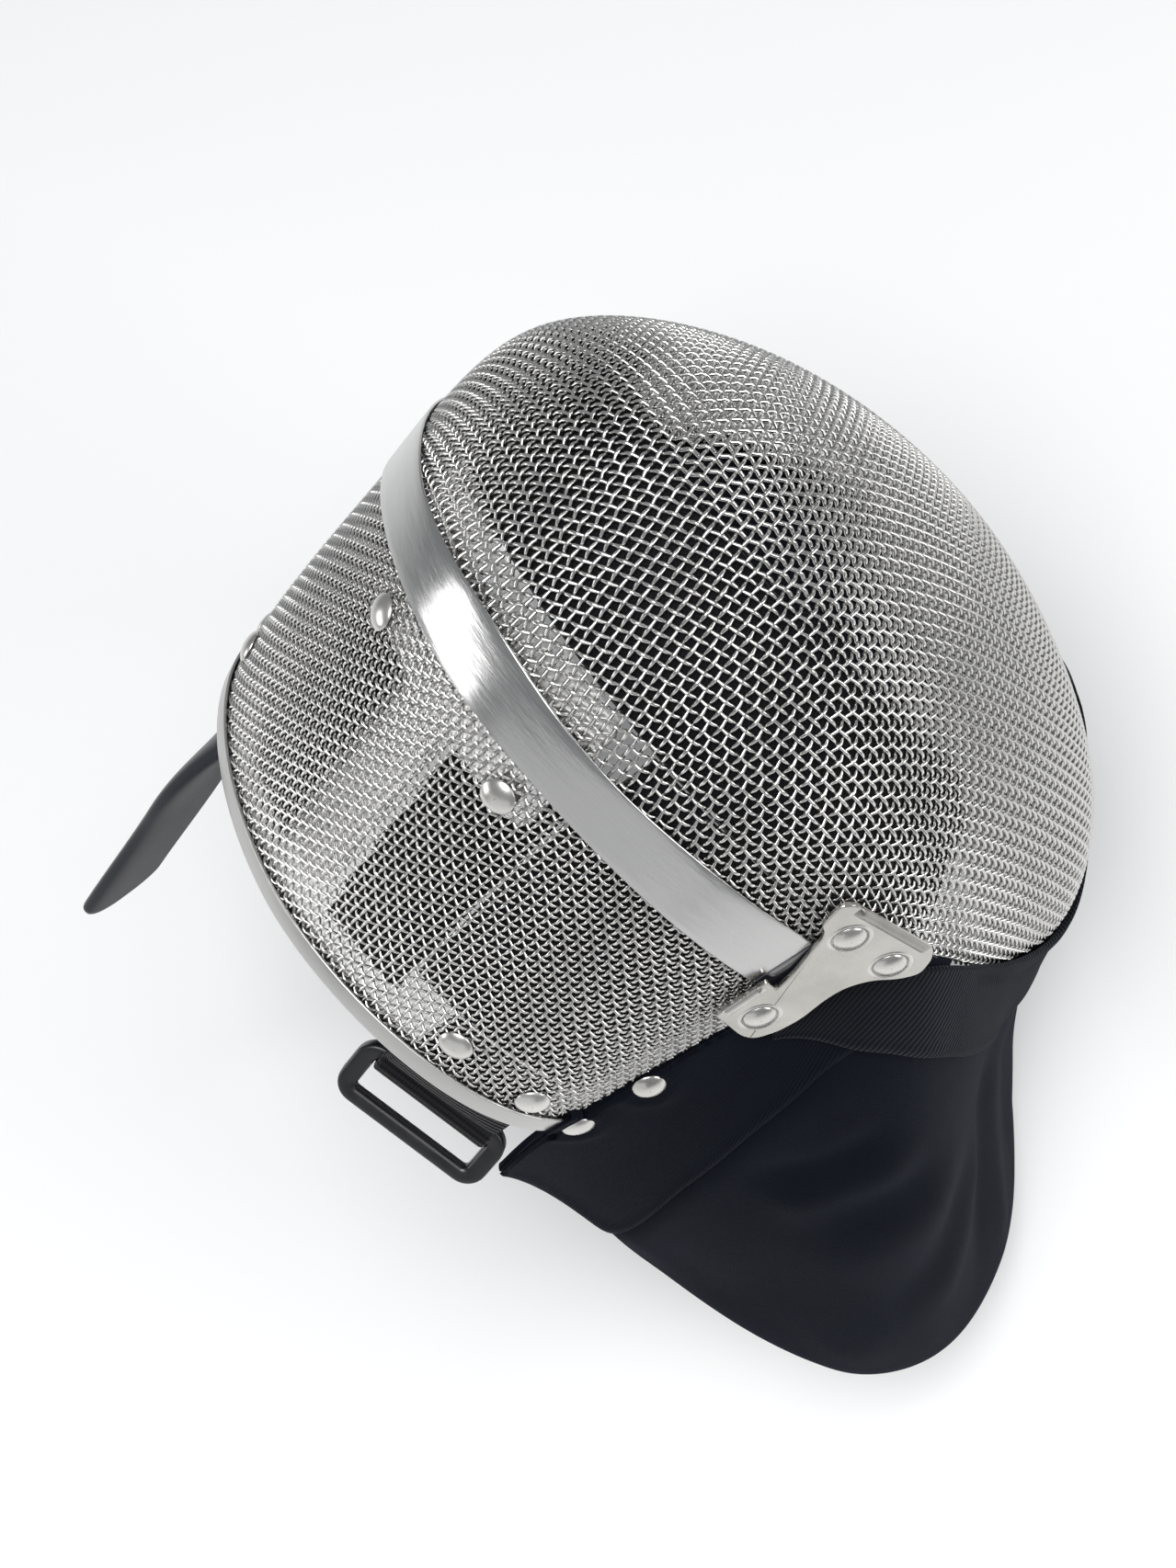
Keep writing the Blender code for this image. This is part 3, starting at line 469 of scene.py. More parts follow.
def wires(name, t, phi, first, radius, t_range, replaces=()):
    """One family of wires as tubes. Points sit at quarter steps, their height is plus or minus the radius
    by the parity of the crossing, and each ring is a circle across the wire. t_range gives the cloth's two
    edges, each a station or a function of the arch angle."""
    rows = t.shape[0]
    s = np.arange(rows - 1)
    seq_t, seq_p = (np.stack([x[:, s] * (1 - w) + x[:, s + 1] * w for w in (0.25, 0.75)], -1).reshape(rows, -1)
                    for x in (t, phi))
    crossing = np.stack([s, s + 1], -1).ravel()
    over = np.where((crossing[None, :] + np.arange(rows)[:, None] + first) % 2 == 0, 1.0, -1.0)
    # how far past the edge of the cloth each point is, in rough millimetres; below nought is inside
    first_t, last_t = (x(seq_p) if callable(x) else x for x in t_range)
    past = np.maximum(np.maximum((first_t - seq_t) * MM_PER_STATION, (seq_t - last_t) * MM_PER_STATION),
                      (np.abs(seq_p) - edge_arch(seq_t)) * MM_PER_RADIAN)
    past = np.where(np.isfinite(past), past, 1e9)
    inside = past <= 0
    end = np.zeros_like(inside)
    for shift in (1, -1):
        near_in = np.roll(inside, shift, 1)
        near_in[:, 0 if shift == 1 else -1] = False
        hit = near_in & ~inside & (past < 1e8) & ~end
        back = np.roll(past, shift, 1)
        share = np.where(hit, back / np.where(hit, back - past, 1), 0)
        for seq in (seq_t, seq_p):
            seq[hit] = (np.roll(seq, shift, 1) + (seq - np.roll(seq, shift, 1)) * share)[hit]
        end |= hit
    use = inside | end
    # points that no wire uses are read at a harmless place, in the middle of the face
    flat_t, flat_p = np.where(use, seq_t, 5.0), np.where(use, seq_p, 0.0)
    normal = shell_normal(flat_t, flat_p)
    line = shell_middle(flat_t, flat_p) + normal * (over * radius)[..., None]
    ahead, behind = np.roll(line, -1, 1), np.roll(line, 1, 1)
    ahead = np.where(np.roll(use, -1, 1)[..., None], ahead, line)
    behind = np.where(np.roll(use, 1, 1)[..., None], behind, line)
    along = unit(ahead - behind)
    side = unit(np.cross(normal, along))
    up = np.cross(along, side)
    ang = np.arange(SIDES) / SIDES * 2 * np.pi
    ring = line[:, :, None] + radius * (np.cos(ang)[:, None] * up[:, :, None]
                                        + np.sin(ang)[:, None] * side[:, :, None])
    number = np.full(use.shape, -1)
    number[use] = np.arange(use.sum())
    a, b = number[:, :-1], number[:, 1:]
    pair = (a >= 0) & (b >= 0)
    a, b = a[pair][:, None] * SIDES, b[pair][:, None] * SIDES
    k = np.arange(SIDES)[None, :]
    faces = np.stack([a + k, a + (k + 1) % SIDES, b + (k + 1) % SIDES, b + k], -1).reshape(-1, 4)
    return piece(name, ring[use].reshape(-1, 3), faces, replaces)


print("tubes with", SIDES, "sides")

# %% [markdown]
# ## Face cloth
# The face is woven of wire 1 mm thick, with gaps under 2 mm, so that no blade can pass. The cloth touches
# the dome first at the brow, and its wires run askew there, which is why the net starts at that place and
# at that slant. An image of a weave with a bump would be lighter, but it has no gaps to look through.

# %% Face cloth
FACE_PITCH, FACE_RADIUS = (2.85, 2.86), 0.50
face_t, face_phi = wire_net((4.27, 0.13), -28.0, 79.0, FACE_PITCH, 0.17, 104, (1.3, 8.2), deg(112))
FACE_ENDS = (under_front, 7.98)
wires("face_wires_1", face_t, face_phi, 0, FACE_RADIUS, FACE_ENDS, "face_mesh")
wires("face_wires_2", face_t.T.copy(), face_phi.T.copy(), 1, FACE_RADIUS, FACE_ENDS)
print("face cloth:", made)

# %% [markdown]
# ## Crown cloth
# Behind the band the cloth is finer, and its wires run nearly along and across the crown. It takes the
# same two functions with other numbers: a smaller pitch and radius, and hardly any stretch, because the
# crown is less deeply pressed.

# %% Crown cloth
CROWN_PITCH, CROWN_RADIUS = (2.50, 2.38), 0.46
crown_t, crown_phi = wire_net((1.5, 0.4), 3.0, -89.0, CROWN_PITCH, 0.04, 100, (-0.6, 3.6), deg(115))
CROWN_ENDS = (0.06, under_rear)
wires("crown_wires_1", crown_t, crown_phi, 0, CROWN_RADIUS, CROWN_ENDS, "crown_mesh")
wires("crown_wires_2", crown_t.T.copy(), crown_phi.T.copy(), 1, CROWN_RADIUS, CROWN_ENDS)
print("wire triangles:", made)

# %% [markdown]
# ## Crown band
# The band is a strip of sheet steel that follows the arch over the joint of the two cloths. It is a wall on
# the shell between the band's two edges, with soft edges of its own, because real sheet has a burr taken
# off and catches a thin line of light there.

# %% Crown band
CLOTH_TOP = 1.2


def oblique(phi, t):
    """How far the band's right end is cut back, in radians: more towards the face, as the plate there runs
    askew. It fades out towards the crown."""
    return deg(6.2 + 4.0 * (t - 1.965) / 1.07) * smooth_step((phi - deg(58)) / deg(22))


def band_surface(phi, share, off):
    """Shell read with the arch angle first, so that the strip runs along the arch, and a share from the rear
    to the front edge. Sheet steel stays nearly straight across, so the surface is drawn two thirds of the
    way to the line between the strip's edges."""
    rear, front = band_edge(phi, 0), band_edge(phi, 1)
    t = rear + (front - rear) * share
    phi = phi - oblique(phi, t)
    s = share[..., None]
    straight = shell(rear, phi, off) * (1 - s) + shell(front, phi, off) * s
    return shell(t, phi, off) * 0.35 + straight * 0.65


wall("band_strip", band_surface, deg(np.linspace(-86.5, 80.0, 190)), np.linspace(0, 1, 9),
     CLOTH_TOP, CLOTH_TOP + 0.9, "crown_band", rim=5, sharp=50)
print("band:", made["band_strip"])

# %% [markdown]
# ## Rear rim
# The wires' raw ends at the back are gripped by a steel strip folded into a channel. It could be a curve
# with a bevel, but a section whose corners are rounded one by one keeps the channel hollow and its folds round.
# The section is carried along the arch by two directions: into the shell and out of it.

# %% Rear rim
def rounded_section(corners, radius, steps=4):
    """Closed polygon with each corner swapped for an arc: a quadratic curve between points a radius away
    from the corner on both sides."""
    p = np.asarray(corners, float)
    r = np.broadcast_to(np.asarray(radius, float), (len(p),))[:, None]
    before, after = np.roll(p, 1, 0), np.roll(p, -1, 0)
    a, b = p + unit(before - p) * r, p + unit(after - p) * r
    w = np.linspace(0, 1, steps)[None, :, None]
    return ((1 - w) ** 2 * a[:, None] + 2 * w * (1 - w) * p[:, None] + w**2 * b[:, None]).reshape(-1, 2)


def swept(name, centre, along, up, section, replaces=(), closed=False, sharp=None, scale=None):
    """A flat section carried along a path: each ring is centre + section x times one axis + section y times
    the other. Open paths get flat ends."""
    scale = np.ones(len(centre)) if scale is None else scale
    ring = (centre[:, None] + section[None, :, :1] * along[:, None] * scale[:, None, None]
            + section[None, :, 1:] * up[:, None] * scale[:, None, None])
    n, m = ring.shape[:2]
    around = arc_lengths(np.concatenate([ring, ring[:, :1]], 1), 1)[:, :-1]
    run = np.broadcast_to(arc_lengths(ring[:, :1])[:, :1], around.shape)
    uv = np.stack([run, around], -1).reshape(-1, 2)
    faces = quads(n, m, True)
    caps = [np.arange(m)[::-1], np.arange(m) + (n - 1) * m]
    if closed:
        j = np.arange(m)
        k = (j + 1) % m
        faces = np.concatenate([faces, np.stack([(n - 1) * m + j, j, k, (n - 1) * m + k], 1)])
        caps = []
    return piece(name, ring.reshape(-1, 3), faces, replaces, uv, caps, sharp)


RIM_AT = 0.06
rim_phi = deg(np.linspace(-88, 88, 170))
rim_base = shell(RIM_AT, rim_phi)
rim_in = unit(shell(RIM_AT + 0.08, rim_phi) - rim_base)
rim_out = shell_normal(np.full(170, RIM_AT), rim_phi)
RIM_SECTION = rounded_section([(6.0, 2.05), (-1.1, 2.05), (-1.1, -2.05), (6.0, -2.05), (6.0, -1.25),
                               (-0.3, -1.25), (-0.3, 1.25), (6.0, 1.25)],
                              (0.35, 1.0, 1.0, 0.35, 0.3, 0.5, 0.5, 0.3), 5)
swept("rim_channel", rim_base, rim_in, rim_out, RIM_SECTION, "rear_rim", sharp=50)
print("rim:", made["rim_channel"])

# %% [markdown]
# ## Rivets
# Each rivet is a low polished dome. It is turned on a lathe: a profile of radius and height goes round
# its axis. Those on the bracket sit in a pressed ring, which shows as a dark groove round the head.

# %% Rivets
# profiles: radius and height of each ring
DOME = np.array([(0.0, 1.75), (0.45, 1.745), (1.3, 1.68), (2.5, 1.45), (3.5, 1.08), (4.2, 0.66), (4.62, 0.3),
                 (4.75, 0.1), (4.7, 0.0)])
RINGED = np.array([(0.0, 1.35), (0.45, 1.345), (1.3, 1.28), (2.5, 1.05), (3.4, 0.72), (4.0, 0.36), (4.3, 0.02),
                   (4.45, -0.2), (4.75, -0.2), (4.95, 0.1), (5.25, 0.28), (5.6, 0.2), (5.9, 0.0)])


def lathe(name, centre, normal, profile, replaces=(), sides=40):
    """Profile turned about the normal: each ring is the radius times cosine and sine, raised by the
    height. The first axis of the rings is square to the normal and to a direction that no rivet points in."""
    normal = unit(np.asarray(normal, float))
    x = unit(np.cross(normal, (0.31, 0.2, 0.93)))
    y = np.cross(normal, x)
    ang = np.arange(sides) / sides * 2 * np.pi
    r, h = profile[::-1].T
    r = np.maximum(r, 0.12)
    disc = np.cos(ang)[:, None] * x + np.sin(ang)[:, None] * y
    ring = centre + r[:, None, None] * disc + h[:, None, None] * normal
    n = len(r)
    caps = [np.arange(sides)[::-1], np.arange(sides) + (n - 1) * sides]
    return piece(name, ring.reshape(-1, 3), quads(n, sides, True), replaces, caps=caps)


SHELL_RIVETS = (
    # node, station, arch angle in degrees, height of its seat over the middle of the cloth
    ("crown_rivet_right", 1.70, 20.5, 1.2), ("crown_rivet_left", 1.70, -20.5, 1.2),
    ("strap_rivet_upper_right", 0.36, 46.0, 1.2), ("strap_rivet_lower_right", 0.31, 69.0, 1.2),
    ("strap_rivet_upper_left", 0.40, -60.0, 1.2), ("strap_rivet_lower_left", 0.34, -80.0, 1.2),
    ("band_rivet_left", 2.5, -80.0, 2.4),
)
for node, t_at, d_at, seat in SHELL_RIVETS:
    at_t, at_phi = np.array([t_at]), deg(np.array([d_at]))
    lathe(node + "_head", shell(at_t, at_phi, seat)[0], shell_normal(at_t, at_phi)[0], DOME, replaces=node)
print("rivet heads so far:", sum("_head" in k for k in made))

# %% [markdown]
# ## Waves in the bib
# The bib is a padded layer of dense cloth, so it keeps broad soft waves rather than sharp creases. They
# are added as a height over the smooth surface. A simulation under gravity would let the flare collapse,
# which the real stiff padding does not do, so the waves are placed where the photograph has them:
# one swells just below the facing's stitched lower edge, and the others spread from the trim's corner.

# %% Waves
# station on the shell's foot, and how far down the bib the facing reaches there
FACING = np.array([(0.0, 1.0), (0.95, 1.0), (1.05, 0.96), (1.23, 0.825), (1.52, 0.59), (1.8, 0.46),
                   (2.06, 0.365), (2.45, 0.275), (2.78, 0.205), (3.1, 0.165), (3.6, 0.13), (4.2, 0.10)])
WRINKLES = np.array([
    # from u, v to u, v, then width in millimetres and height
    (2.35, 0.47, 3.70, 0.345, 6.0, -2.0), (2.55, 0.53, 4.10, 0.40, 8.0, 2.2),
    (3.05, 0.53, 4.55, 0.42, 8.0, -1.8), (3.20, 0.66, 4.90, 0.44, 11.0, 1.8),
    (3.9, 0.78, 5.2, 0.50, 9.0, -1.5), (4.5, 0.80, 5.6, 0.52, 9.0, 1.6), (1.9, 0.93, 3.0, 0.72, 14.0, -1.4),
    (5.3, 0.86, 5.75, 0.34, 7.0, -1.6), (5.7, 0.95, 6.05, 0.40, 7.0, 1.5), (6.4, 0.92, 6.5, 0.45, 8.0, -1.8),
    (6.9, 0.95, 6.9, 0.45, 9.0, 1.6), (7.6, 0.9, 7.5, 0.4, 9.0, -1.4), (8.3, 0.95, 8.2, 0.4, 10.0, 1.5),
    (3.2, 0.97, 3.9, 0.84, 12.0, 1.2),
])


def soft(u, table, k, reach=0.15):
    """A table's column read along the bib, as a mean over stations within reach, so that it has no corners."""
    weight = np.hanning(11)[1:-1]
    near = np.minimum(u, BIB_LAST - u)[..., None] + np.linspace(-reach, reach, 9)
    return np.interp(near, station_to_u(table[:, 0]), table[:, k]) @ (weight / weight.sum())


def bib_long(w):
    """Rough length of the bib from foot to hem, in millimetres."""
    return np.interp(w, (0, 1.3, 2.1, 3, 4.5, 6, 9), (38, 110, 137, 175, 190, 148, 140))


STATION_MM, DEPTH_MM = 36, 150


def folds(u, v):
    """Height of the bib's waves in millimetres: a swelling that rises and dies away below the facing, the
    wrinkles, and two slow sines. A wrinkle is a bell curve across its line, fading at both ends."""
    w = np.minimum(u, BIB_LAST - u)
    below = np.maximum((v - soft(u, FACING, 1)) * bib_long(w), 0)
    h = 3.6 * (1 - np.exp(-below / 7)) * np.exp(-below / 28)
    h = h * np.interp(w, (0.9, 1.4, 3.0, 3.8, 4.4), (0.3, 1, 1, 0.5, 0))
    drift = np.where(u < BIB_MID, 0.0, 0.25)
    for u0, v0, u1, v1, wide, high in WRINKLES:
        x, y = (w - u0 - drift) * STATION_MM, (v - v0) * DEPTH_MM
        ex, ey = (u1 - u0) * STATION_MM, (v1 - v0) * DEPTH_MM
        size = np.hypot(ex, ey)
        along, across = (x * ex + y * ey) / size, (x * ey - y * ex) / size
        bell = np.exp(-((across + 0.0025 * along * (size - along)) / wide) ** 2)
        fade = smooth_step(along / size * 2.2 + 0.5) * smooth_step((1 - along / size) * 2.2 + 0.3)
        h = h + high * bell * fade
    h = h + 0.5 * np.sin(2.9 * u + 3.1 * v) * v + 0.25 * np.sin(5.3 * u - 4.0 * v) * v
    return h * np.clip(v * 4.0, 0, 1) * np.clip((1.03 - v) * 9, 0, 1)


BIB_HALF = 1.2
bib_u = np.linspace(0, BIB_LAST, 420)
bib_v = np.linspace(0.008, 0.988, 64)
waves = folds(bib_u[:, None], bib_v[None, :])
print("waves from", round(float(waves.min()), 1), "to", round(float(waves.max()), 1), "mm")

# %% [markdown]
# ## Bib cloth
# The bib is one padded sheet 2.4 mm thick. Both its faces follow the same waves, so it keeps its thickness
# through every fold, and its hem is a half round, as a turned and stitched hem is.

# %% Bib cloth
wall("bib_cloth", bib, bib_u, bib_v, waves - BIB_HALF, waves + BIB_HALF, "bib", rim=3)
print("bib cloth:", made["bib_cloth"])

# %% [markdown]
# ## Facings
# A second layer covers the bib's upper part on each side. It lies on the same surface and follows the
# same waves. Its edges roll down on to the bib, and the cloth puckers in a ring round each rivet, because
# the rivet pulls the padding in.

# %% Facings and their rivets
def mirror_bib(u, v, off):
    """The bib read from the other side's corner."""
    return bib(BIB_LAST - u, v, off)


FACING_TOP, FACING_EDGE = BIB_HALF + 0.7 + 1.4, BIB_HALF + 0.45
FACING_RIVETS = (("rear", 0.36, 0.085), ("middle", 1.0, 0.026))
facing_u = np.linspace(0, float(station_to_u(FACING[-1, 0])), 120)
reach = soft(facing_u, FACING, 1)[:, None]
down = (1 - (1 - np.linspace(0, 1, 44)) ** 1.6)[None, :]
facing_v = -0.012 + (reach + 0.012) * down
to_edge = (1 - down) * reach * bib_long(facing_u)[:, None]
roll = FACING_EDGE + (FACING_TOP - FACING_EDGE) * (1 - np.exp(-to_edge / 1.6))
roll = roll + 0.5 * np.exp(-((to_edge - 5) / 3) ** 2)
for side, surface in (("right", bib), ("left", mirror_bib)):
    base = folds(facing_u[:, None], facing_v)
    high = roll + base
    grid = surface(facing_u[:, None], facing_v, FACING_TOP)
    for tag, u_at, v_at in FACING_RIVETS:
        seat = surface(np.array([u_at]), np.array([v_at]), FACING_TOP)[0]
        r = np.linalg.norm(grid - seat, axis=-1)
        high = high + 0.9 * np.exp(-((r - 7.2) / 2.6) ** 2) - 0.5 * np.exp(-(r / 3.6) ** 2)
        p, q = (surface(np.array([u_at]), np.array([v_at]), FACING_TOP + lift)[0] for lift in (-0.15, 0.85))
        lathe(f"facing_rivet_{tag}_{side}_head", p, q - p, DOME, replaces=f"facing_rivet_{tag}_{side}")
    wall(f"facing_{side}", surface, facing_u, facing_v, BIB_HALF + 0.35 + base, high,
         f"bib_facing_{side}", rim=4)
print("facings:", made["facing_right"], made["facing_left"])

# %% [markdown]
# ## Ribbed trim
# A ribbed tape covers the joint of bib and wire cloth along the jaw. It is one strip along the bib's
# stations, thicker towards its lower edge, where the real tape is folded under.

# %% Trim
TRIM = np.array([
    # station, width, rise above the bib's edge, height off the bib's cloth
    (2.0, 7.0, 0.0, 2.8), (2.5, 15.0, 0.0, 2.8), (3.1, 23.0, 0.0, 2.8), (3.8, 28.0, 0.5, 2.8),
    (4.4, 29.0, 1.5, 2.8), (5.0, 30.0, 2.0, 1.6), (5.6, 30.0, 2.0, 0.9), (6.5, 29.0, 1.5, 0.9),
    (7.8, 30.0, 3.0, 0.9), (8.0, 32.0, 5.0, 0.9),
])


def trim_surface(u, share, height):
    """The trim's underside plus a height. Ahead of the cheek its upper part lies on the wire cloth and its
    lower part on the bib, and a smooth step over four millimetres leads from one to the other."""
    width, rise, lift = (soft(u, TRIM, k, 0.5) for k in (1, 2, 3))
    run = share * width - rise
    _, t, phi, _ = foot(u)
    edge, out = shell_middle(t, phi), shell_normal(t, phi)
    _, t_on, phi_on, _ = foot(u + 0.05)
    up = unit(np.cross(out, shell_middle(t_on, phi_on) - edge))
    up = up * np.sign(up[..., 2:])
    off = 1.6 + 0.035 * np.minimum(run, 0) ** 2 + height
    on_mesh = edge + out * off[..., None] - up * run[..., None]
    long = np.linalg.norm(bib_middle(u, u * 0 + 0.3) - bib_middle(u, u * 0), axis=-1) / 0.3
    on_bib = bib(u, run / long, lift + BIB_HALF + height)
    w = 1 - (1 - smooth_step((run - 0.8) / 4)) * smooth_step((t - 4.4) / 0.8)
    return on_mesh * (1 - w[..., None]) + on_bib * w[..., None]


trim_start = float(station_to_u(2.0))
trim_u = np.linspace(trim_start, BIB_LAST - trim_start, 420)
share = np.linspace(0.015, 0.985, 28)
puff = 0.3 * np.sin(np.pi * share) + 0.35 * np.exp(-((share - 0.93) / 0.05) ** 2)
trim_waves = 0.25 * np.sin(trim_u * 5.1)[:, None] * share[None, :]
trim_waves = trim_waves + 0.2 * np.sin(trim_u * 8.3 + 1)[:, None] * share[None, :] ** 2
wall("trim_tape", trim_surface, trim_u, share, 0.0, 1.9 + puff[None, :] + trim_waves, "jaw_trim",
     rim=4)
print("trim:", made["trim_tape"])

# %% [markdown]
# ## Wrapped rim ends
# At the rear corners the bib's cloth is folded over the end of the rim. The fold is a short soft tube with
# a rounded section round the rim, slightly uneven along its length and closing at its lower end.

# %% Wrapped rim ends
WRAP_SECTION = rounded_section([(9.5, 3.1), (-2.1, 3.1), (-2.1, -3.1), (9.5, -3.1)], (1.2, 2.2, 2.2, 1.2), 7)
WRAP_ROWS = 24
wrap_phi = deg(np.linspace(83.8, 89.2, WRAP_ROWS))
swell = 0.97 + 0.05 * np.sin(np.linspace(0, 9, WRAP_ROWS))
swell = swell * np.sqrt(1 - np.clip((np.linspace(0, 1, WRAP_ROWS) - 0.8) / 0.205, 0, 1) ** 2 * 0.8)
for side, turned in (("right", 1), ("left", -1)):
    base = shell(RIM_AT, wrap_phi * turned)
    inside_way = unit(shell(RIM_AT + 0.08, wrap_phi * turned) - base)
    outside_way = shell_normal(np.full(WRAP_ROWS, RIM_AT), wrap_phi * turned)
    swept(f"corner_wrap_{side}", base, inside_way, outside_way, WRAP_SECTION, scale=swell)
print("wrapped ends:", made["corner_wrap_right"], made["corner_wrap_left"])

# %% [markdown]
# ## The side bracket
# A waisted plate of nickelled steel ties the band to the trim. Its outline is a closed polygon through a
# table of points, with an arc at each corner, and its edge is rounded by a few rings that step inward as
# they rise.

# %% Bracket
B_Z = unit(np.array([-0.90, 0.26, 0.34]))
B_ORIGIN = np.array([-90.3, -38.8, -58.4]) + B_Z * 3.1
B_X = unit(np.array([0.0, 0.80, -0.60]) - B_Z * (B_Z @ np.array([0.0, 0.80, -0.60])))
B_Y = np.cross(B_Z, B_X)
B_OUTLINE = np.array([
    # along and across the plate, in millimetres
    (35.6, -14.8), (41.3, -2.0), (40.8, 2.2), (36.0, 6.1), (29.0, 8.4), (20.1, 8.8), (13.7, 10.5),
    (8.8, 15.0), (5.8, 22.1), (1.8, 25.7), (-4.3, 24.3), (-8.1, 21.4), (-15.9, -10.7), (-14.1, -14.1),
    (-6.0, -13.4), (-2.8, -9.9), (5.0, -8.6), (13.2, -6.9), (20.7, -6.8), (18.6, -11.4),
])
B_RADII = np.array([1.2, 2.5, 2.0, 2.5, 3.0, 3.0, 3.0, 3.0, 3.0, 2.0,
                    2.0, 1.5, 1.5, 1.5, 1.5, 2.0, 3.0, 3.0, 1.0, 1.0])
B_TOP = 1.42


def plate_point(ab, h):
    """A point of the bracket's own plane, raised by h."""
    return B_ORIGIN + ab[..., :1] * B_X + ab[..., 1:] * B_Y + np.asarray(h)[..., None] * B_Z


outline = rounded_section(B_OUTLINE, B_RADII, 6)
run_x, run_y = (np.roll(outline, -1, 0) - np.roll(outline, 1, 0)).T
area = np.sum(outline[:, 0] * np.roll(outline[:, 1], -1) - np.roll(outline[:, 0], -1) * outline[:, 1])
inward = unit(np.stack([-run_y, run_x], 1)) * np.sign(area)
# how far each ring steps inward, and its height
EDGE_STEPS = ((0.35, 0.0), (0.08, 0.08), (0.0, 0.3), (0.0, 1.05), (0.12, 1.28), (0.3, 1.39), (0.45, B_TOP))
rings = np.array([plate_point(outline + inward * d, np.full(len(outline), h)) for d, h in EDGE_STEPS])
n, m = rings.shape[:2]
piece("bracket_plate", rings.reshape(-1, 3), quads(n, m, True), "side_bracket",
      caps=[np.arange(m)[::-1], np.arange(m) + (n - 1) * m], sharp=10)
print("bracket plate:", made["bracket_plate"])

# %% [markdown]
# ## Bracket lips and rivets
# Two of the plate's edges are folded up, which stiffens it and keeps it from scratching. Each fold is a low
# wall on the plate, highest along its outer side and drawn down at both ends. Three rivets hold the plate.

# %% Bracket lips and rivets
def lip(name, p, q, width, height, inward):
    """A folded edge: a low half round along the plate's edge from p to q, steeper on its outer side, with
    both ends drawn down."""
    p, q = np.array(p), np.array(q)
    along, length = unit(q - p), np.linalg.norm(q - p)
    across = np.array([-along[1], along[0]]) * inward

    def surface(run, side, high):
        return plate_point(p + along * run[..., None] + across * side[..., None], high)

    run, side = np.linspace(0.15, length - 0.15, 40), np.linspace(0.15, width, 16)
    ends = smooth_step(run / 1.6) * smooth_step((length - run) / 1.6)
    high = 1.35 + ends[:, None] * (height * np.sin(np.pi * (side / width) ** 0.7)[None, :] ** 0.7)
    return wall(name, surface, run, side, 1.0, high, rim=2, sharp=60)


lip("bracket_lip_front", (-8.2, 20.6), (-15.4, -8.6), 2.9, 1.0, 1)
lip("bracket_lip_rear", (34.4, -14.2), (20.6, -11.7), 2.7, 0.9, -1)
for tag, a, b in (("upper", -4.2, -3.0), ("front", 1.4, 15.0), ("rear", 32.0, -3.2)):
    lathe(f"bracket_rivet_{tag}_head", plate_point(np.array([a, b]), B_TOP), B_Z, RINGED,
          replaces=f"bracket_rivet_{tag}")
print("lips:", made["bracket_lip_front"], made["bracket_lip_rear"])


# %% [markdown]
# ## The band's dark end
# Between the band's oblique end and the bracket a small black lacquered tab shows. It is a shallow dome on
# the shell, and its near edge follows the band's end.

# %% Tab
def tab_surface(t, phi, off):
    """The tab reaches from the band's oblique end to the trim: the cut fades out linearly across it."""
    back = (deg(TAB_TO) - phi) / deg(TAB_TO - TAB_FROM)
    return shell(t, phi - back * oblique(deg(80), t), off)


TAB_FROM, TAB_TO = 80.7, 87.5
tab_t = np.linspace(2.12, 3.2, 40)
tab_phi = deg(np.linspace(TAB_FROM, TAB_TO, 24))
dome_across = np.sin(np.linspace(0.2, np.pi - 0.2, 24))[None, :]
dome_along = np.sin(np.linspace(0.25, np.pi - 0.25, 40))[:, None]
wall("band_tab", tab_surface, tab_t, tab_phi, 1.2, 2.0 + 1.2 * dome_across * dome_along,
     "band_end_tab", rim=4)
print("tab:", made["band_tab"])

# %% [markdown]
# ## Inside the crown: the spring plate
# A T-shaped spring plate grips the back of the head. Through the wires it shows as a bright T, so its
# edges are placed with care: the bar and the stem keep their true width at every station.

# %% Spring plate
PLATE_OUT = -1.45


def phi_for_x(t, x):
    """Arch angle at which the shell reaches x at station t, read from a fine table of the arch."""
    table = deg(np.linspace(-80, 80, 641))
    line = shell_middle(*np.broadcast_arrays(t[:, None], table[None, :]))[..., 0]
    return np.array([np.interp(-xx, -row, table) for row, xx in zip(line, x)])


def by_station(t, phi, off):
    """Shell read with the station first."""
    return shell(t, phi, off)


def by_angle(phi, t, off):
    """Shell read with the arch angle first."""
    return shell(t, phi, off)


bar_t = np.linspace(1.6, 3.2, 40)
bar_half = np.interp(bar_t, (1.6, 1.68, 3.12, 3.2), (34.5, 36.5, 36.5, 34.5))
bar_phi = phi_for_x(bar_t, bar_half[:, None] * np.linspace(-1, 1, 41)[None, :])
wall("spring_bar", by_station, bar_t, bar_phi, PLATE_OUT - 1.2, PLATE_OUT, "spring_plate",
     sharp=50)
stem_t = np.linspace(0.32, 1.66, 50)
stem_half = 8.0 * np.clip(1 - ((0.46 - stem_t) / 0.14).clip(0, 1) ** 2, 0.05, 1) ** 0.5
stem_half = stem_half + 9.0 * np.exp(-((1.66 - stem_t) / 0.07) ** 2)
stem_phi = phi_for_x(stem_t, stem_half[:, None] * np.linspace(-1, 1, 13)[None, :])
wall("spring_stem", by_station, stem_t, stem_phi, PLATE_OUT - 1.25, PLATE_OUT - 0.05, sharp=50)
print("spring plate:", made["spring_bar"], made["spring_stem"])

# %% [markdown]
# ## Pads
# Cloth-covered foam pads line the crown and the forehead. Through the wires they show as black fields with
# a thin line between them. Their outer faces lie along the shell, and their inner faces swell between
# their edges, as foam under cloth does.

# %% Pads
# arch angle in degrees, and station of the forehead pad's front edge there, with its notch
PAD_EDGE = np.array([(0, 4.05), (20, 4.15), (24, 4.2), (26, 4.38), (31, 4.4), (33, 4.28), (50, 4.8),
                     (58, 4.75), (70, 4.3), (82, 3.9)])


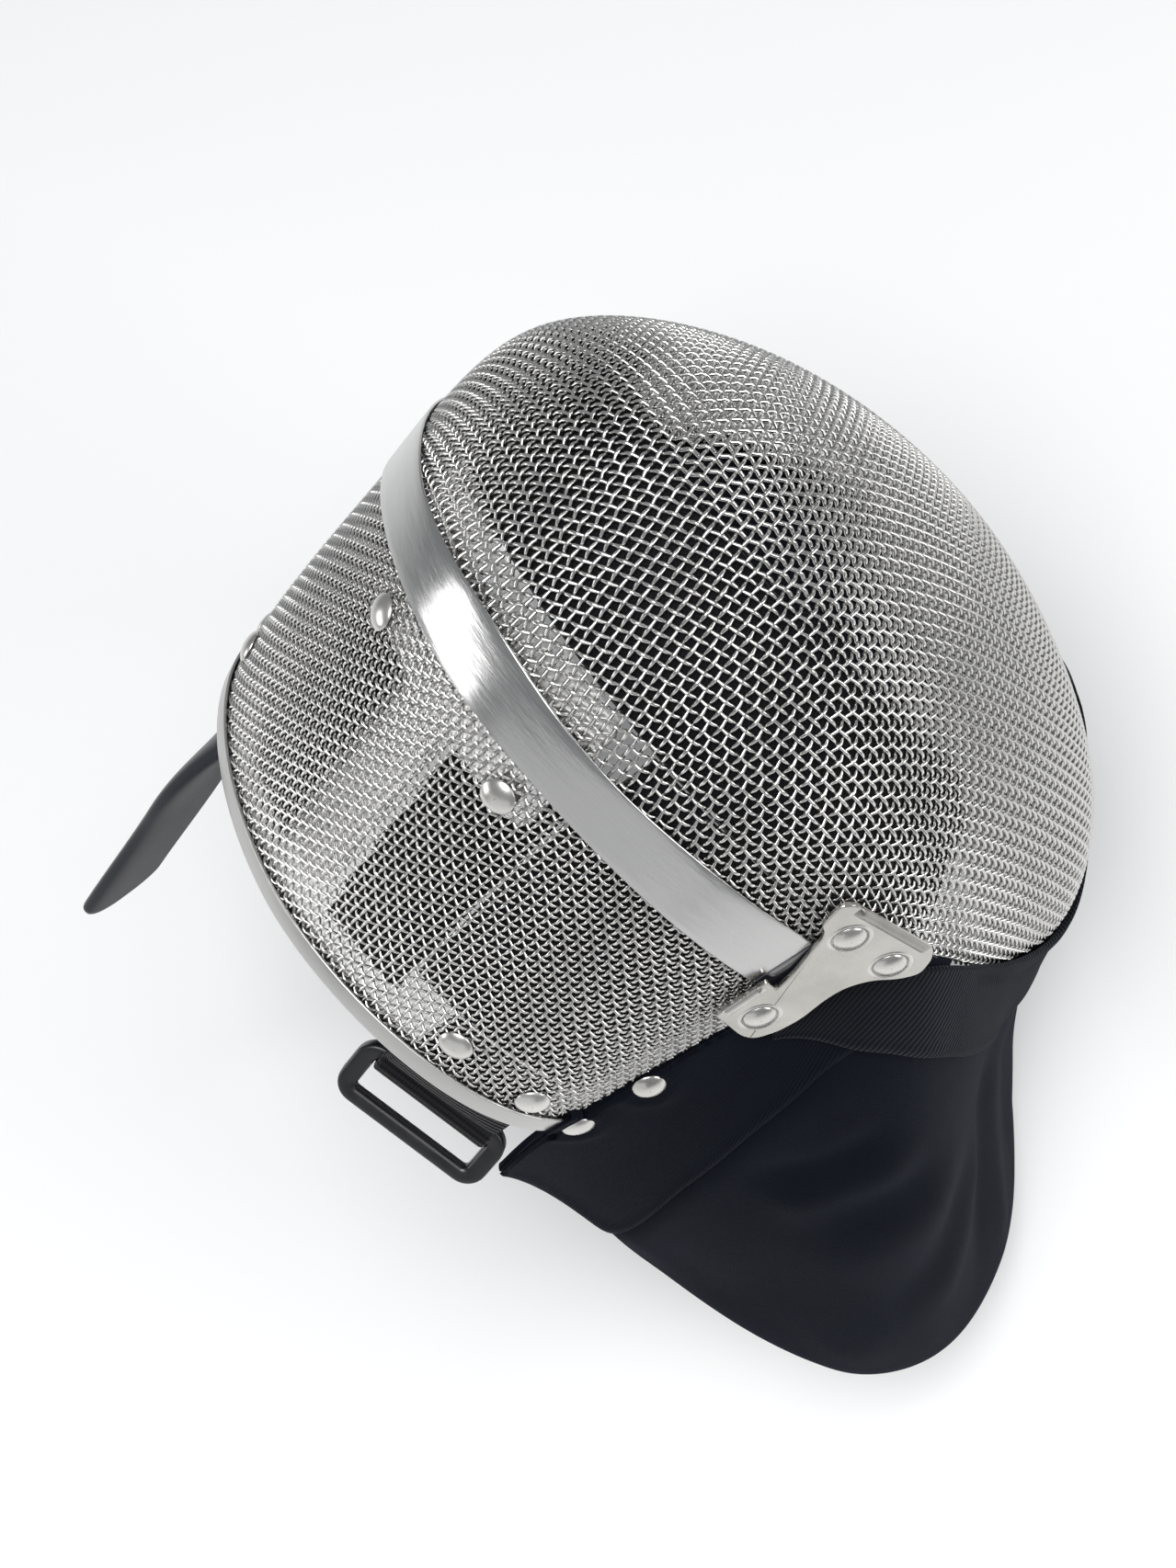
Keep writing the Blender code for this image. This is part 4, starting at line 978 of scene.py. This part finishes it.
def pad(name, t_from, t_to, lo, hi, seat, replaces, across=60, rows=26):
    """A pad between two stations: its outer face follows the shell at the seat. Its inner face swells with
    the square root of a product that is flat in the middle and falls to nought at the pad's four edges."""
    d = np.linspace(lo, hi, across)
    start = t_from(np.abs(d)) if callable(t_from) else np.full(across, t_from)
    stop = t_to(np.abs(d)) if callable(t_to) else np.full(across, t_to)
    s = np.linspace(0, 1, rows)
    t = start[:, None] + (stop - start)[:, None] * s[None, :]
    edge_s = 1 - np.abs(2 * s - 1) ** 6
    edge_d = 1 - np.abs(2 * np.linspace(0, 1, across) - 1) ** (across / 5)
    swell = (edge_s[None, :] * edge_d[:, None]) ** 0.5
    inner_face = seat - 4.6 * (0.35 + 0.65 * swell)
    obj = wall(name, by_angle, deg(d), t, inner_face, seat, replaces, rim=4)
    return obj


pad("forehead_cushion", 3.25, lambda d: np.interp(d, *PAD_EDGE.T), -82, 82, -1.8, "forehead_pad", 150)
for side, name in ((1, "right"), (-1, "left")):
    pad(f"crown_cushion_inner_{name}", 0.28, 1.9, 9.5 * side, 30.4 * side, -2.95, f"crown_pad_inner_{name}", 30)
    pad(f"crown_cushion_outer_{name}", 0.5, 3.2, 31.2 * side, 80 * side, -1.45, f"crown_pad_outer_{name}", 60)
print("pads:", sum(n for k, n in made.items() if "cushion" in k))

# %% [markdown]
# ## Buckle
# The buckle is a moulded oblong loop with broad ends. Its outline runs from an outer to an inner rounded
# rectangle, and each step of that way has its own height, which rounds the moulding's edges.

# %% Buckle
BUCKLE_AT = np.array([-56.0, 81.0, -114.0])
AX_LONG = unit(np.array([-0.87, -0.33, -0.37]))
AX_OUT = np.array([0.2, 0.95, -0.25])
AX_OUT = unit(AX_OUT - AX_LONG * (AX_OUT @ AX_LONG))
AX_UP = -np.cross(AX_LONG, AX_OUT)


def oblong(half_long, half_short, radius, steps=9):
    """Rounded rectangle: four quarter circles, each corner in turn."""
    a = deg(np.linspace(0, 90, steps))[None, :] + deg(np.array([0, 90, 180, 270]))[:, None]
    sx, sy = np.array([1, -1, -1, 1])[:, None], np.array([1, 1, -1, -1])[:, None]
    x, y = sx * (half_long - radius) + radius * np.cos(a), sy * (half_short - radius) + radius * np.sin(a)
    return np.stack([x, y], -1).reshape(-1, 2)


def buckle(name):
    """A flat loop: rings of the outer and inner outline, rounded over top and bottom, joined in a circle."""
    levels = ((0.0, 0.0), (0.0, 1.5), (0.25, 2.05), (0.8, 2.3), (1.6, 2.3), (3.4, 2.2), (4.2, 1.9), (4.6, 1.2),
              (4.6, 0.0))
    loop = []
    for inset, high in levels + tuple((i, -h) for i, h in levels[-2:0:-1]):
        mix = inset / 4.6
        outer = oblong(25.0 - 0.6 * max(0, 1 - mix * 4), 10.0, 6.5)
        inner = oblong(18.9, 5.4, 1.2)
        line = outer * (1 - mix) + inner * mix
        loop.append(BUCKLE_AT + line[:, :1] * AX_LONG + line[:, 1:] * AX_OUT + high * AX_UP)
    ring = np.array(loop).transpose(1, 0, 2)
    n, m = ring.shape[:2]
    j = np.arange(m)
    k = (j + 1) % m
    faces = np.concatenate([quads(n, m, True), np.stack([(n - 1) * m + j, j, k, (n - 1) * m + k], 1)])
    return piece(name, ring.reshape(-1, 3), faces, "strap_buckle", sharp=60)


buckle("buckle_loop")
print("buckle:", made["buckle_loop"])

# %% [markdown]
# ## Strap loop
# A ribbed strap comes out under the rim, goes round the buckle's inner bar and turns back. It is drawn as
# rows of points across its width, first along the shell, then over the gap, then round the bar.

# %% Strap loop
STRAP_HALF = 17.5
ACROSS = np.linspace(-1, 1, 25) * STRAP_HALF


def strap_row(t_at, off, middle=57.0):
    """Points across the strap where it lies against the inside of the shell, spaced by true length."""
    table = deg(np.linspace(middle - 30, middle + 30, 241))
    line = shell(np.full(241, t_at), table, off)
    run = arc_lengths(line)
    run = run - run[120]
    return np.stack([np.interp(ACROSS, run, line[:, k]) for k in range(3)], 1)


bar_at = BUCKLE_AT - AX_OUT * 7.7
wrap = 2.3 * 1.15 + 0.3 + 0.2 + 1.0
ALONG_SHELL = ((0.42, -2.9), (0.34, -3.1), (0.26, -3.6), (0.18, -4.2), (0.06, -4.3))
rows = [strap_row(t, off) for t, off in ALONG_SHELL]
over = bar_at + AX_UP * wrap - AX_OUT * 2.5 + ACROSS[:, None] * AX_LONG
leave = unit(rows[-1] - rows[-2])
first = rows[-1]
rows += [first + (over - first) * w + leave * 16.0 * w * (1 - w) for w in (0.25, 0.5, 0.75, 1.0)]
rows += [bar_at + AX_UP * wrap * np.sin(a) + AX_OUT * wrap * np.cos(a) + ACROSS[:, None] * AX_LONG
         for a in deg(np.array([80, 50, 20, -10, -40, -70, -100]))]
STRAP_ROWS = np.array(rows)
STRAP_FLAT = STRAP_ROWS.reshape(len(rows), -1)
STRAP_BEND = second_differences(STRAP_FLAT)


def strap_surface(s, c, off):
    """The strap's rows joined by a cubic, moved along the normal by off. All columns share their s."""
    mid = cubic(STRAP_FLAT, STRAP_BEND, s[:, 0]).reshape(len(s), len(ACROSS), 3)
    n = unit(np.cross(np.gradient(mid, axis=0), np.gradient(mid, axis=1)))
    return mid + n * np.broadcast_to(off, mid.shape[:2])[..., None]


strap_s = np.linspace(0, len(rows) - 1, 110)
wall("strap_webbing", strap_surface, strap_s, ACROSS, -1.0, 1.0, "strap_loop")
print("strap loop:", made["strap_webbing"])

# %% [markdown]
# ## Left strap
# On the left a cloth-covered springy strap comes out under the rim and ends free. Its middle line is a
# cubic through seven places, its section a flat rounded oblong, and it tapers to a round end.

# %% Left strap
inside_rim = [shell(np.array([t]), deg(np.array([-62.0])), off)[0]
              for t, off in ((0.42, -9.0), (0.26, -9.3), (0.08, -10.0))]
SLEEVE = np.array([
    # x, y, z and the direction of the strap's width
    *[(*place, 0.69, -0.27, -0.67) for place in inside_rim],
    (60.5, 78.5, -103.0, 0.40, -0.55, -0.73),
    (61.0, 94.0, -118.0, 0.31, -0.66, -0.68),
    (61.5, 112.0, -135.5, 0.31, -0.66, -0.68),
    (62.0, 129.5, -152.5, 0.31, -0.66, -0.68),
])
SLEEVE_HALF_WIDE, SLEEVE_HALF_THICK = 17.0, 3.5
at_row = np.linspace(0, len(SLEEVE) - 1, 120)
row = cubic(SLEEVE, second_differences(SLEEVE), at_row)
line, wide = row[:, :3], row[:, 3:]
along = unit(np.gradient(line, axis=0))
wide = unit(wide - along * np.sum(along * wide, 1, keepdims=True))
ang = np.linspace(0, 2 * np.pi, 40, endpoint=False)
sleeve_section = np.stack([np.sign(np.cos(ang)) * np.abs(np.cos(ang)) ** 0.75 * SLEEVE_HALF_WIDE,
                           np.sign(np.sin(ang)) * np.abs(np.sin(ang)) ** 0.75 * SLEEVE_HALF_THICK], 1)
taper = np.minimum(1, np.sqrt(1 - np.clip((at_row - 5.93) / 0.075, 0, 0.98) ** 2))
sleeve = swept("left_strap", line, wide, np.cross(along, wide), sleeve_section,
               "strap_sleeve_left", scale=taper)
print("left strap:", made["left_strap"], "total", sum(made.values()))

# %% [markdown]
# ## Materials
# A small class turns Python arithmetic into shader nodes, so a pattern reads as a formula. Colours go
# through Mix nodes and vectors through Vector Math.

# %% Shader arithmetic
class Sock:
    """One output of a node tree. + - * with numbers or other outputs add Math nodes."""

    def __init__(self, tree, socket):
        self.tree, self.socket = tree, socket

    def _math(self, operation, *values):
        return make(self.tree, "ShaderNodeMath", {"operation": operation}, dict(enumerate(values)))

    def __add__(self, other):
        return self._math("ADD", self, other)

    def __radd__(self, other):
        return self._math("ADD", other, self)

    def __mul__(self, other):
        return self._math("MULTIPLY", self, other)

    def __rmul__(self, other):
        return self._math("MULTIPLY", other, self)

    def wave(self, pitch):
        """A sine of the value with this pitch, from -1 to 1."""
        angle = self * (2 * np.pi / pitch)
        return angle._math("SINE", angle)

    def ramp(self, lo, hi, to_lo=0.0, to_hi=1.0):
        """Linear step from one range to another, held at its ends."""
        return make(self.tree, "ShaderNodeMapRange", {"clamp": True},
                    {1: lo, 2: hi, 3: to_lo, 4: to_hi, 0: self})


def make(tree, kind, settings=None, inputs=None, output=0):
    """Any node: settings first, then values or links by socket name or number. Returns one output."""
    node = tree.nodes.new(kind)
    for key, value in (settings or {}).items():
        setattr(node, key, value)
    for key, value in (inputs or {}).items():
        if isinstance(value, Sock):
            tree.links.new(value.socket, node.inputs[key])
        else:
            node.inputs[key].default_value = value
    return Sock(tree, node.outputs[output])


def mix(tree, factor, a, b):
    """Colour a to colour b by a factor."""
    return make(tree, "ShaderNodeMix", {"data_type": "RGBA"}, {0: factor, 6: a, 7: b}, 2)


def noise(tree, at, scale, detail=2.0, rough=0.5):
    """Cloudy noise, with this many clouds a metre."""
    return make(tree, "ShaderNodeTexNoise", None,
                {"Vector": at, "Scale": scale, "Detail": detail, "Roughness": rough})


def stretched(tree, at, scale):
    """Coordinates scaled by a different number each way, which draws noise out into streaks."""
    return make(tree, "ShaderNodeMapping", None, {"Vector": at, "Scale": scale})


print("operators:", [k for k in vars(Sock) if "add" in k or "mul" in k])

# %% [markdown]
# ## From nodes to a finish
# A finish is a Principled shader whose constants are set by name, while outputs that vary over the piece are
# linked to it. It could be drawn by hand in the shader editor. As functions, the finishes share their
# helpers, and each one reads as a short list of what differs.

# %% Material helpers
def material(name, **constants):
    """New material: returns it, its tree and its Principled shader, with constants on the shader's sockets."""
    mat = bpy.data.materials.new(name)
    mat.use_nodes = True
    shader = mat.node_tree.nodes["Principled BSDF"]
    for key, value in constants.items():
        shader.inputs[key.replace("_", " ")].default_value = value
    return mat, mat.node_tree, shader


def feed(tree, shader, **links):
    """Links outputs to the shader's sockets by name."""
    for key, value in links.items():
        tree.links.new(value.socket, shader.inputs[key.replace("_", " ")])


def bump(tree, height, distance, strength=1.0):
    """A normal bent by a height that goes from nought to distance, in metres."""
    return make(tree, "ShaderNodeBump", None, {"Height": height, "Distance": distance, "Strength": strength})


def paint(mat, *names):
    """Gives pieces a material."""
    for name in names:
        obj = bpy.data.objects[name]
        obj.data.materials.clear()
        obj.data.materials.append(mat)


def coordinates(tree, kind):
    """Texture coordinates: the piece's own UV map in metres, or its Object coordinates."""
    return make(tree, "ShaderNodeTexCoord", output={"uv": 2, "object": 3}[kind])


print("materials so far:", len(bpy.data.materials))

# %% [markdown]
# ### Wire
# Drawn wire is bright and slightly uneven from the dies, so its colour and roughness follow a small cloud
# noise on Object coordinates.

# %% Wire
def darker_to(tint, share=0.86):
    """A colour darkened to a share of itself, then the colour, both with alpha."""
    return (*[c * share for c in tint], 1), (*tint, 1)


def wire_finish(name, tint):
    """Bright drawn wire."""
    mat, tree, shader = material(name, Metallic=1.0)
    cloud = noise(tree, coordinates(tree, "object"), 60.0, 3.0)
    feed(tree, shader, Base_Color=mix(tree, cloud, *darker_to(tint)),
         Roughness=cloud.ramp(0.3, 0.7, 0.14, 0.26))
    return mat


WIRE_TINT = (0.69, 0.68, 0.665)
paint(wire_finish("face wire", WIRE_TINT), "face_wires_1", "face_wires_2")
paint(wire_finish("crown wire", WIRE_TINT), "crown_wires_1", "crown_wires_2")
print("wire tint:", WIRE_TINT)

# %% [markdown]
# ### Satin steel
# Band, rim and spring plate are satin: a very fine grain runs along the strip. It is noise on the UV map,
# drawn out along the strip. The band's sheet is also slightly dented, so that its highlight breaks up.

# %% Satin steel
def satin_finish(name, tint, grain, rough, uneven=0.0):
    """Fine grain along the strip, over a sheet that is never quite flat, so that highlights break up."""
    mat, tree, shader = material(name, Metallic=1.0)
    uv = coordinates(tree, "uv")
    streak = noise(tree, stretched(tree, uv, grain), 1.0, 3.0, 0.65)
    cloud = noise(tree, uv, 35.0, 2.0)
    dents = noise(tree, stretched(tree, uv, (60.0, 260.0, 1.0)), 1.0, 3.0, 0.6)
    feed(tree, shader, Base_Color=mix(tree, streak, *darker_to(tint)),
         Roughness=streak.ramp(0.3, 0.7, rough - 0.06, rough + 0.07) + cloud.ramp(0.3, 0.7, -0.03, 0.03),
         Normal=bump(tree, streak * 0.06 + dents * uneven, 0.001, 0.35))
    return mat


paint(satin_finish("satin band steel", (0.57, 0.565, 0.56), (90.0, 2600.0, 1.0), 0.22, 0.35), "band_strip")
paint(satin_finish("satin rim steel", (0.55, 0.545, 0.535), (120.0, 2200.0, 1.0), 0.33), "rim_channel")
paint(satin_finish("spring plate steel", (0.88, 0.88, 0.88), (90.0, 2000.0, 1.0), 0.28),
      "spring_bar", "spring_stem")
print("satin pieces: band_strip rim_channel spring_bar spring_stem")

# %% [markdown]
# ### Nickel
# The bracket and the rivets are nickelled, smoother and a little warmer than steel. The rivets are polished
# brighter; the rear lip's brighter colour is a painted highlight, and the front lip's darker one is painted
# shade.

# %% Nickel
def nickel_finish(name, dark, light):
    """Nickel plate: soft cloudy colour, small pits and a few fine scratches, duller where it is handled."""
    mat, tree, shader = material(name, Metallic=1.0)
    at = coordinates(tree, "object")
    pitting = noise(tree, at, 1400.0, 2.0)
    cloud = noise(tree, at, 90.0, 3.0)
    scratch = noise(tree, stretched(tree, at, (200.0, 2600.0, 900.0)), 1.0, 2.0, 0.6)
    feed(tree, shader, Base_Color=mix(tree, cloud.ramp(0.25, 0.75), (*dark, 1), (*light, 1)),
         Roughness=cloud.ramp(0.3, 0.7, 0.22, 0.34) + scratch.ramp(0.55, 0.8, 0.0, 0.08),
         Normal=bump(tree, pitting * 0.6 + scratch * 0.4, 0.00004, 0.3))
    return mat


heads = [k for k in made if k.endswith("_head")]
paint(nickel_finish("nickel plate", (0.44, 0.425, 0.395), (0.60, 0.585, 0.55)), "bracket_plate")
# the rear lip shares the rivets' brighter nickel as a painted highlight
paint(nickel_finish("nickel rivet and painted lip highlight", (0.56, 0.545, 0.52), (0.72, 0.71, 0.68)), "bracket_lip_rear", *heads)
# the front lip's darker nickel is painted shade
paint(nickel_finish("nickel fold painted shade", (0.26, 0.25, 0.23), (0.40, 0.385, 0.36)), "bracket_lip_front")
print("rivet heads:", len(heads))

# %% [markdown]
# ### Cloths
# The bib is a dense fine weave in blue-black, its facing a fine upright rib, and the trim a tape with
# slanted ribs. All weaves are waves over the UV map in metres, at their true pitch, and a sheen gives
# the pale bloom of fibres at grazing angles.

# %% Cloths
def cloth_finish(name, dark, light, weave, depth, sheen=0.25, rough=0.85, tint=(1, 1, 1, 1)):
    """weave(u, v) returns a height from nought to one; it both darkens the gaps and raises the yarns."""
    mat, tree, shader = material(name, Sheen_Weight=sheen, Sheen_Roughness=0.4, Sheen_Tint=tint,
                                 Specular_IOR_Level=0.08)
    uv = coordinates(tree, "uv")
    split = make(tree, "ShaderNodeSeparateXYZ", None, {0: uv}).socket.node
    u, v = (Sock(tree, split.outputs[k]) for k in (0, 1))
    height = weave(u, v)
    fuzz = noise(tree, uv, 900.0, 3.0, 0.7)
    cloud = noise(tree, uv, 28.0, 3.0)
    tone = (height * 0.5 + fuzz * 0.3 + cloud * 0.4).ramp(0.3, 0.95)
    feed(tree, shader, Base_Color=mix(tree, tone, (*dark, 1), (*light, 1)),
         Roughness=fuzz.ramp(0.2, 0.8, rough - 0.08, rough + 0.08),
         Normal=bump(tree, height * 0.8 + fuzz * 0.35, depth, 0.6))
    return mat


def plain_weave(pitch):
    """Yarns both ways: the product of two waves."""
    return lambda u, v: (u.wave(pitch) * v.wave(pitch)) * 0.5 + 0.5


def ribs(pitch, lean=0.0, cross=0.0):
    """Ribs at a slant: one wave of u plus lean times v, broken a little by a crosswise wave."""
    def weave(u, v):
        wave = (u + v * lean).wave(pitch) * 0.5 + 0.5
        if cross:
            wave = wave * 0.75 + (v.wave(cross) * 0.5 + 0.5) * 0.25
        return wave
    return weave


NAVY_SHEEN, GREY_SHEEN, WHITE_SHEEN = (0.5, 0.62, 1, 1), (0.75, 0.82, 1, 1), (1, 1, 1, 1)
CLOTHS = (
    # name, colour in the gaps, colour on the yarns, weave, depth, sheen, roughness, tint of the sheen, pieces
    ("bib cloth", (0.0010, 0.0015, 0.0034), (0.0048, 0.0064, 0.0125), plain_weave(0.0009), 0.00022,
     0.02, 0.85, NAVY_SHEEN, ["bib_cloth"]),
    ("facing cloth", (0.0009, 0.0014, 0.0032), (0.0040, 0.0056, 0.0112), ribs(0.0013, 0.35), 0.00028,
     0.016, 0.85, NAVY_SHEEN, ["facing_right", "facing_left", "corner_wrap_right", "corner_wrap_left"]),
    ("trim tape", (0.0012, 0.0014, 0.0022), (0.0100, 0.0112, 0.0150), ribs(0.0019, 0.75), 0.0007,
     0.05, 0.85, GREY_SHEEN, ["trim_tape"]),
    ("strap webbing", (0.002, 0.002, 0.003), (0.016, 0.016, 0.018), ribs(0.0018, 0.0, 0.0011), 0.0007,
     0.1, 0.85, WHITE_SHEEN, ["strap_webbing"]),
    ("left strap cloth", (0.012, 0.013, 0.016), (0.040, 0.042, 0.050), plain_weave(0.0007), 0.0001,
     0.3, 0.7, WHITE_SHEEN, ["left_strap"]),
    ("pad cloth", (0.003, 0.003, 0.004), (0.010, 0.010, 0.012), plain_weave(0.0012), 0.0002,
     0.25, 0.85, WHITE_SHEEN, [k for k in made if "cushion" in k]),
)
for *finish, pieces in CLOTHS:
    paint(cloth_finish(*finish), *pieces)
print("cloths:", len(CLOTHS))

# %% [markdown]
# ### Moulded plastic and lacquer
# The buckle is moulded plastic, dull black with a thin soft gloss. The tab is black lacquer: a hard clear
# coat over a dark ground. In both, the roughness drifts a little, and a very fine grain breaks the gloss.

# %% Plastic and lacquer
def gloss_finish(name, colour, clouds, rough, grain, depth, coat):
    """A dark ground under a clear coat, with cloudy roughness and a fine grain."""
    mat, tree, shader = material(name, Base_Color=colour, **coat)
    at = coordinates(tree, "object")
    feed(tree, shader, Roughness=noise(tree, at, clouds, 3.0).ramp(0.3, 0.7, *rough),
         Normal=bump(tree, noise(tree, at, grain, 2.0), 0.00003, depth))
    return mat


paint(gloss_finish("moulded black", (0.006, 0.006, 0.008, 1), 220.0, (0.30, 0.46), 1600.0, 0.3,
                   {"Coat_Weight": 0.2, "Coat_Roughness": 0.25}), "buckle_loop")
paint(gloss_finish("black lacquer", (0.012, 0.013, 0.019, 1), 160.0, (0.22, 0.38), 500.0, 0.2,
                   {"Coat_Weight": 1.0, "Coat_Roughness": 0.08, "Coat_IOR": 2.0}), "band_tab")
print("gloss pieces: buckle_loop band_tab")

# %% [markdown]
# ## Soft pieces
# Each cloth's area is printed beside the size it was cut to, which shows its stretch. The area of a thin
# closed sheet is half of its surface.

# %% Cloth areas
def cloth_area(name):
    """Half of a thin closed sheet's surface, in square metres."""
    return sum(p.area for p in bpy.data.objects[name].data.polygons) / 2


CUT_SIZES = (
    # name, length and width in metres
    ("bib_cloth", 0.84, 0.21), ("facing_right", 0.15, 0.11), ("facing_left", 0.15, 0.11),
    ("trim_tape", 0.56, 0.032),
)
for name, length, width in CUT_SIZES:
    area = cloth_area(name)
    print(name, "area", round(area, 4), "of", round(length * width, 4))
strap_long = float(arc_lengths(STRAP_ROWS[:, 12:13])[-1, 0]) * MM
print("strap_webbing length", round(strap_long, 3))

# %% [markdown]
# ## Floor
# A plain pale floor lies a little below the bib's hem, since the mask hangs as on a head.

# %% Floor
SPAN, FLOOR_Z = 3.0, -0.362
floor_mesh = bpy.data.meshes.new("floor")
corners = [(x * SPAN, y * SPAN, FLOOR_Z) for x, y in ((-1, -1), (1, -1), (1, 1), (-1, 1))]
floor_mesh.from_pydata(corners, [], [(0, 1, 2, 3)])
floor = bpy.data.objects.new("floor", floor_mesh)
bpy.context.scene.collection.objects.link(floor)
floor_mesh.materials.append(material("pale floor", Base_Color=(0.86, 0.86, 0.86, 1), Roughness=0.9)[0])
print("floor", 2 * SPAN, "m wide at", FLOOR_Z)

# %% [markdown]
# ## Light
# Steel has hardly a colour of its own: it shows what stands round it. So the studio is four soft panels in
# a dim pale surround. The large one above the crown whitens the wires and puts the highlight on the band.
# The one in front fills the face. Two low ones behind give the rim, the bracket and the bib a soft edge.

# %% Lights
world = bpy.data.worlds.new("studio")
bpy.context.scene.world = world
world.use_nodes = True
surround = world.node_tree.nodes["Background"].inputs
surround["Color"].default_value = (0.94, 0.97, 1.0, 1)
surround["Strength"].default_value = 0.30
bpy.context.scene.view_settings.view_transform = "Standard"


def panel(name, place, aim, size, power):
    """A rectangular area light that faces its aim: its three axes are its level side, up and away."""
    light = bpy.data.lights.new(name, "AREA")
    light.shape, light.size, light.size_y, light.energy = "RECTANGLE", size[0], size[1], power
    obj = bpy.data.objects.new(name, light)
    bpy.context.scene.collection.objects.link(obj)
    away = unit(np.array(place, float) - np.array(aim, float))
    side = unit(np.cross((0.0, 0.01, 1.0), away))
    turn = np.eye(4)
    turn[:3, :3] = np.stack([side, np.cross(away, side), away], 1)
    turn[:3, 3] = place
    obj.matrix_world = turn.T


PANELS = (
    # name, place, aim, size in metres, watts
    ("top panel", (-0.25, 0.05, 1.5), (0, -0.03, -0.1), (0.8, 0.8), 26),
    ("front panel", (-0.9, -1.0, 0.5), (0, -0.05, -0.1), (0.7, 0.7), 8),
    ("rear panel", (0.46, 0.9, 0.16), (0.0, -0.02, 0.03), (0.62, 0.30), 2.5),
    ("side panel", (-0.60, 0.90, 0.05), (0.0, -0.02, 0.0), (1.3, 0.7), 1.3),
)
for row in PANELS:
    panel(*row)
print("panels:", len(PANELS))

# %% [markdown]
# ## Counts
# The number of pieces and of their triangles is printed.

# %% Counts
print("pieces", len(made), "triangles", sum(made.values()))
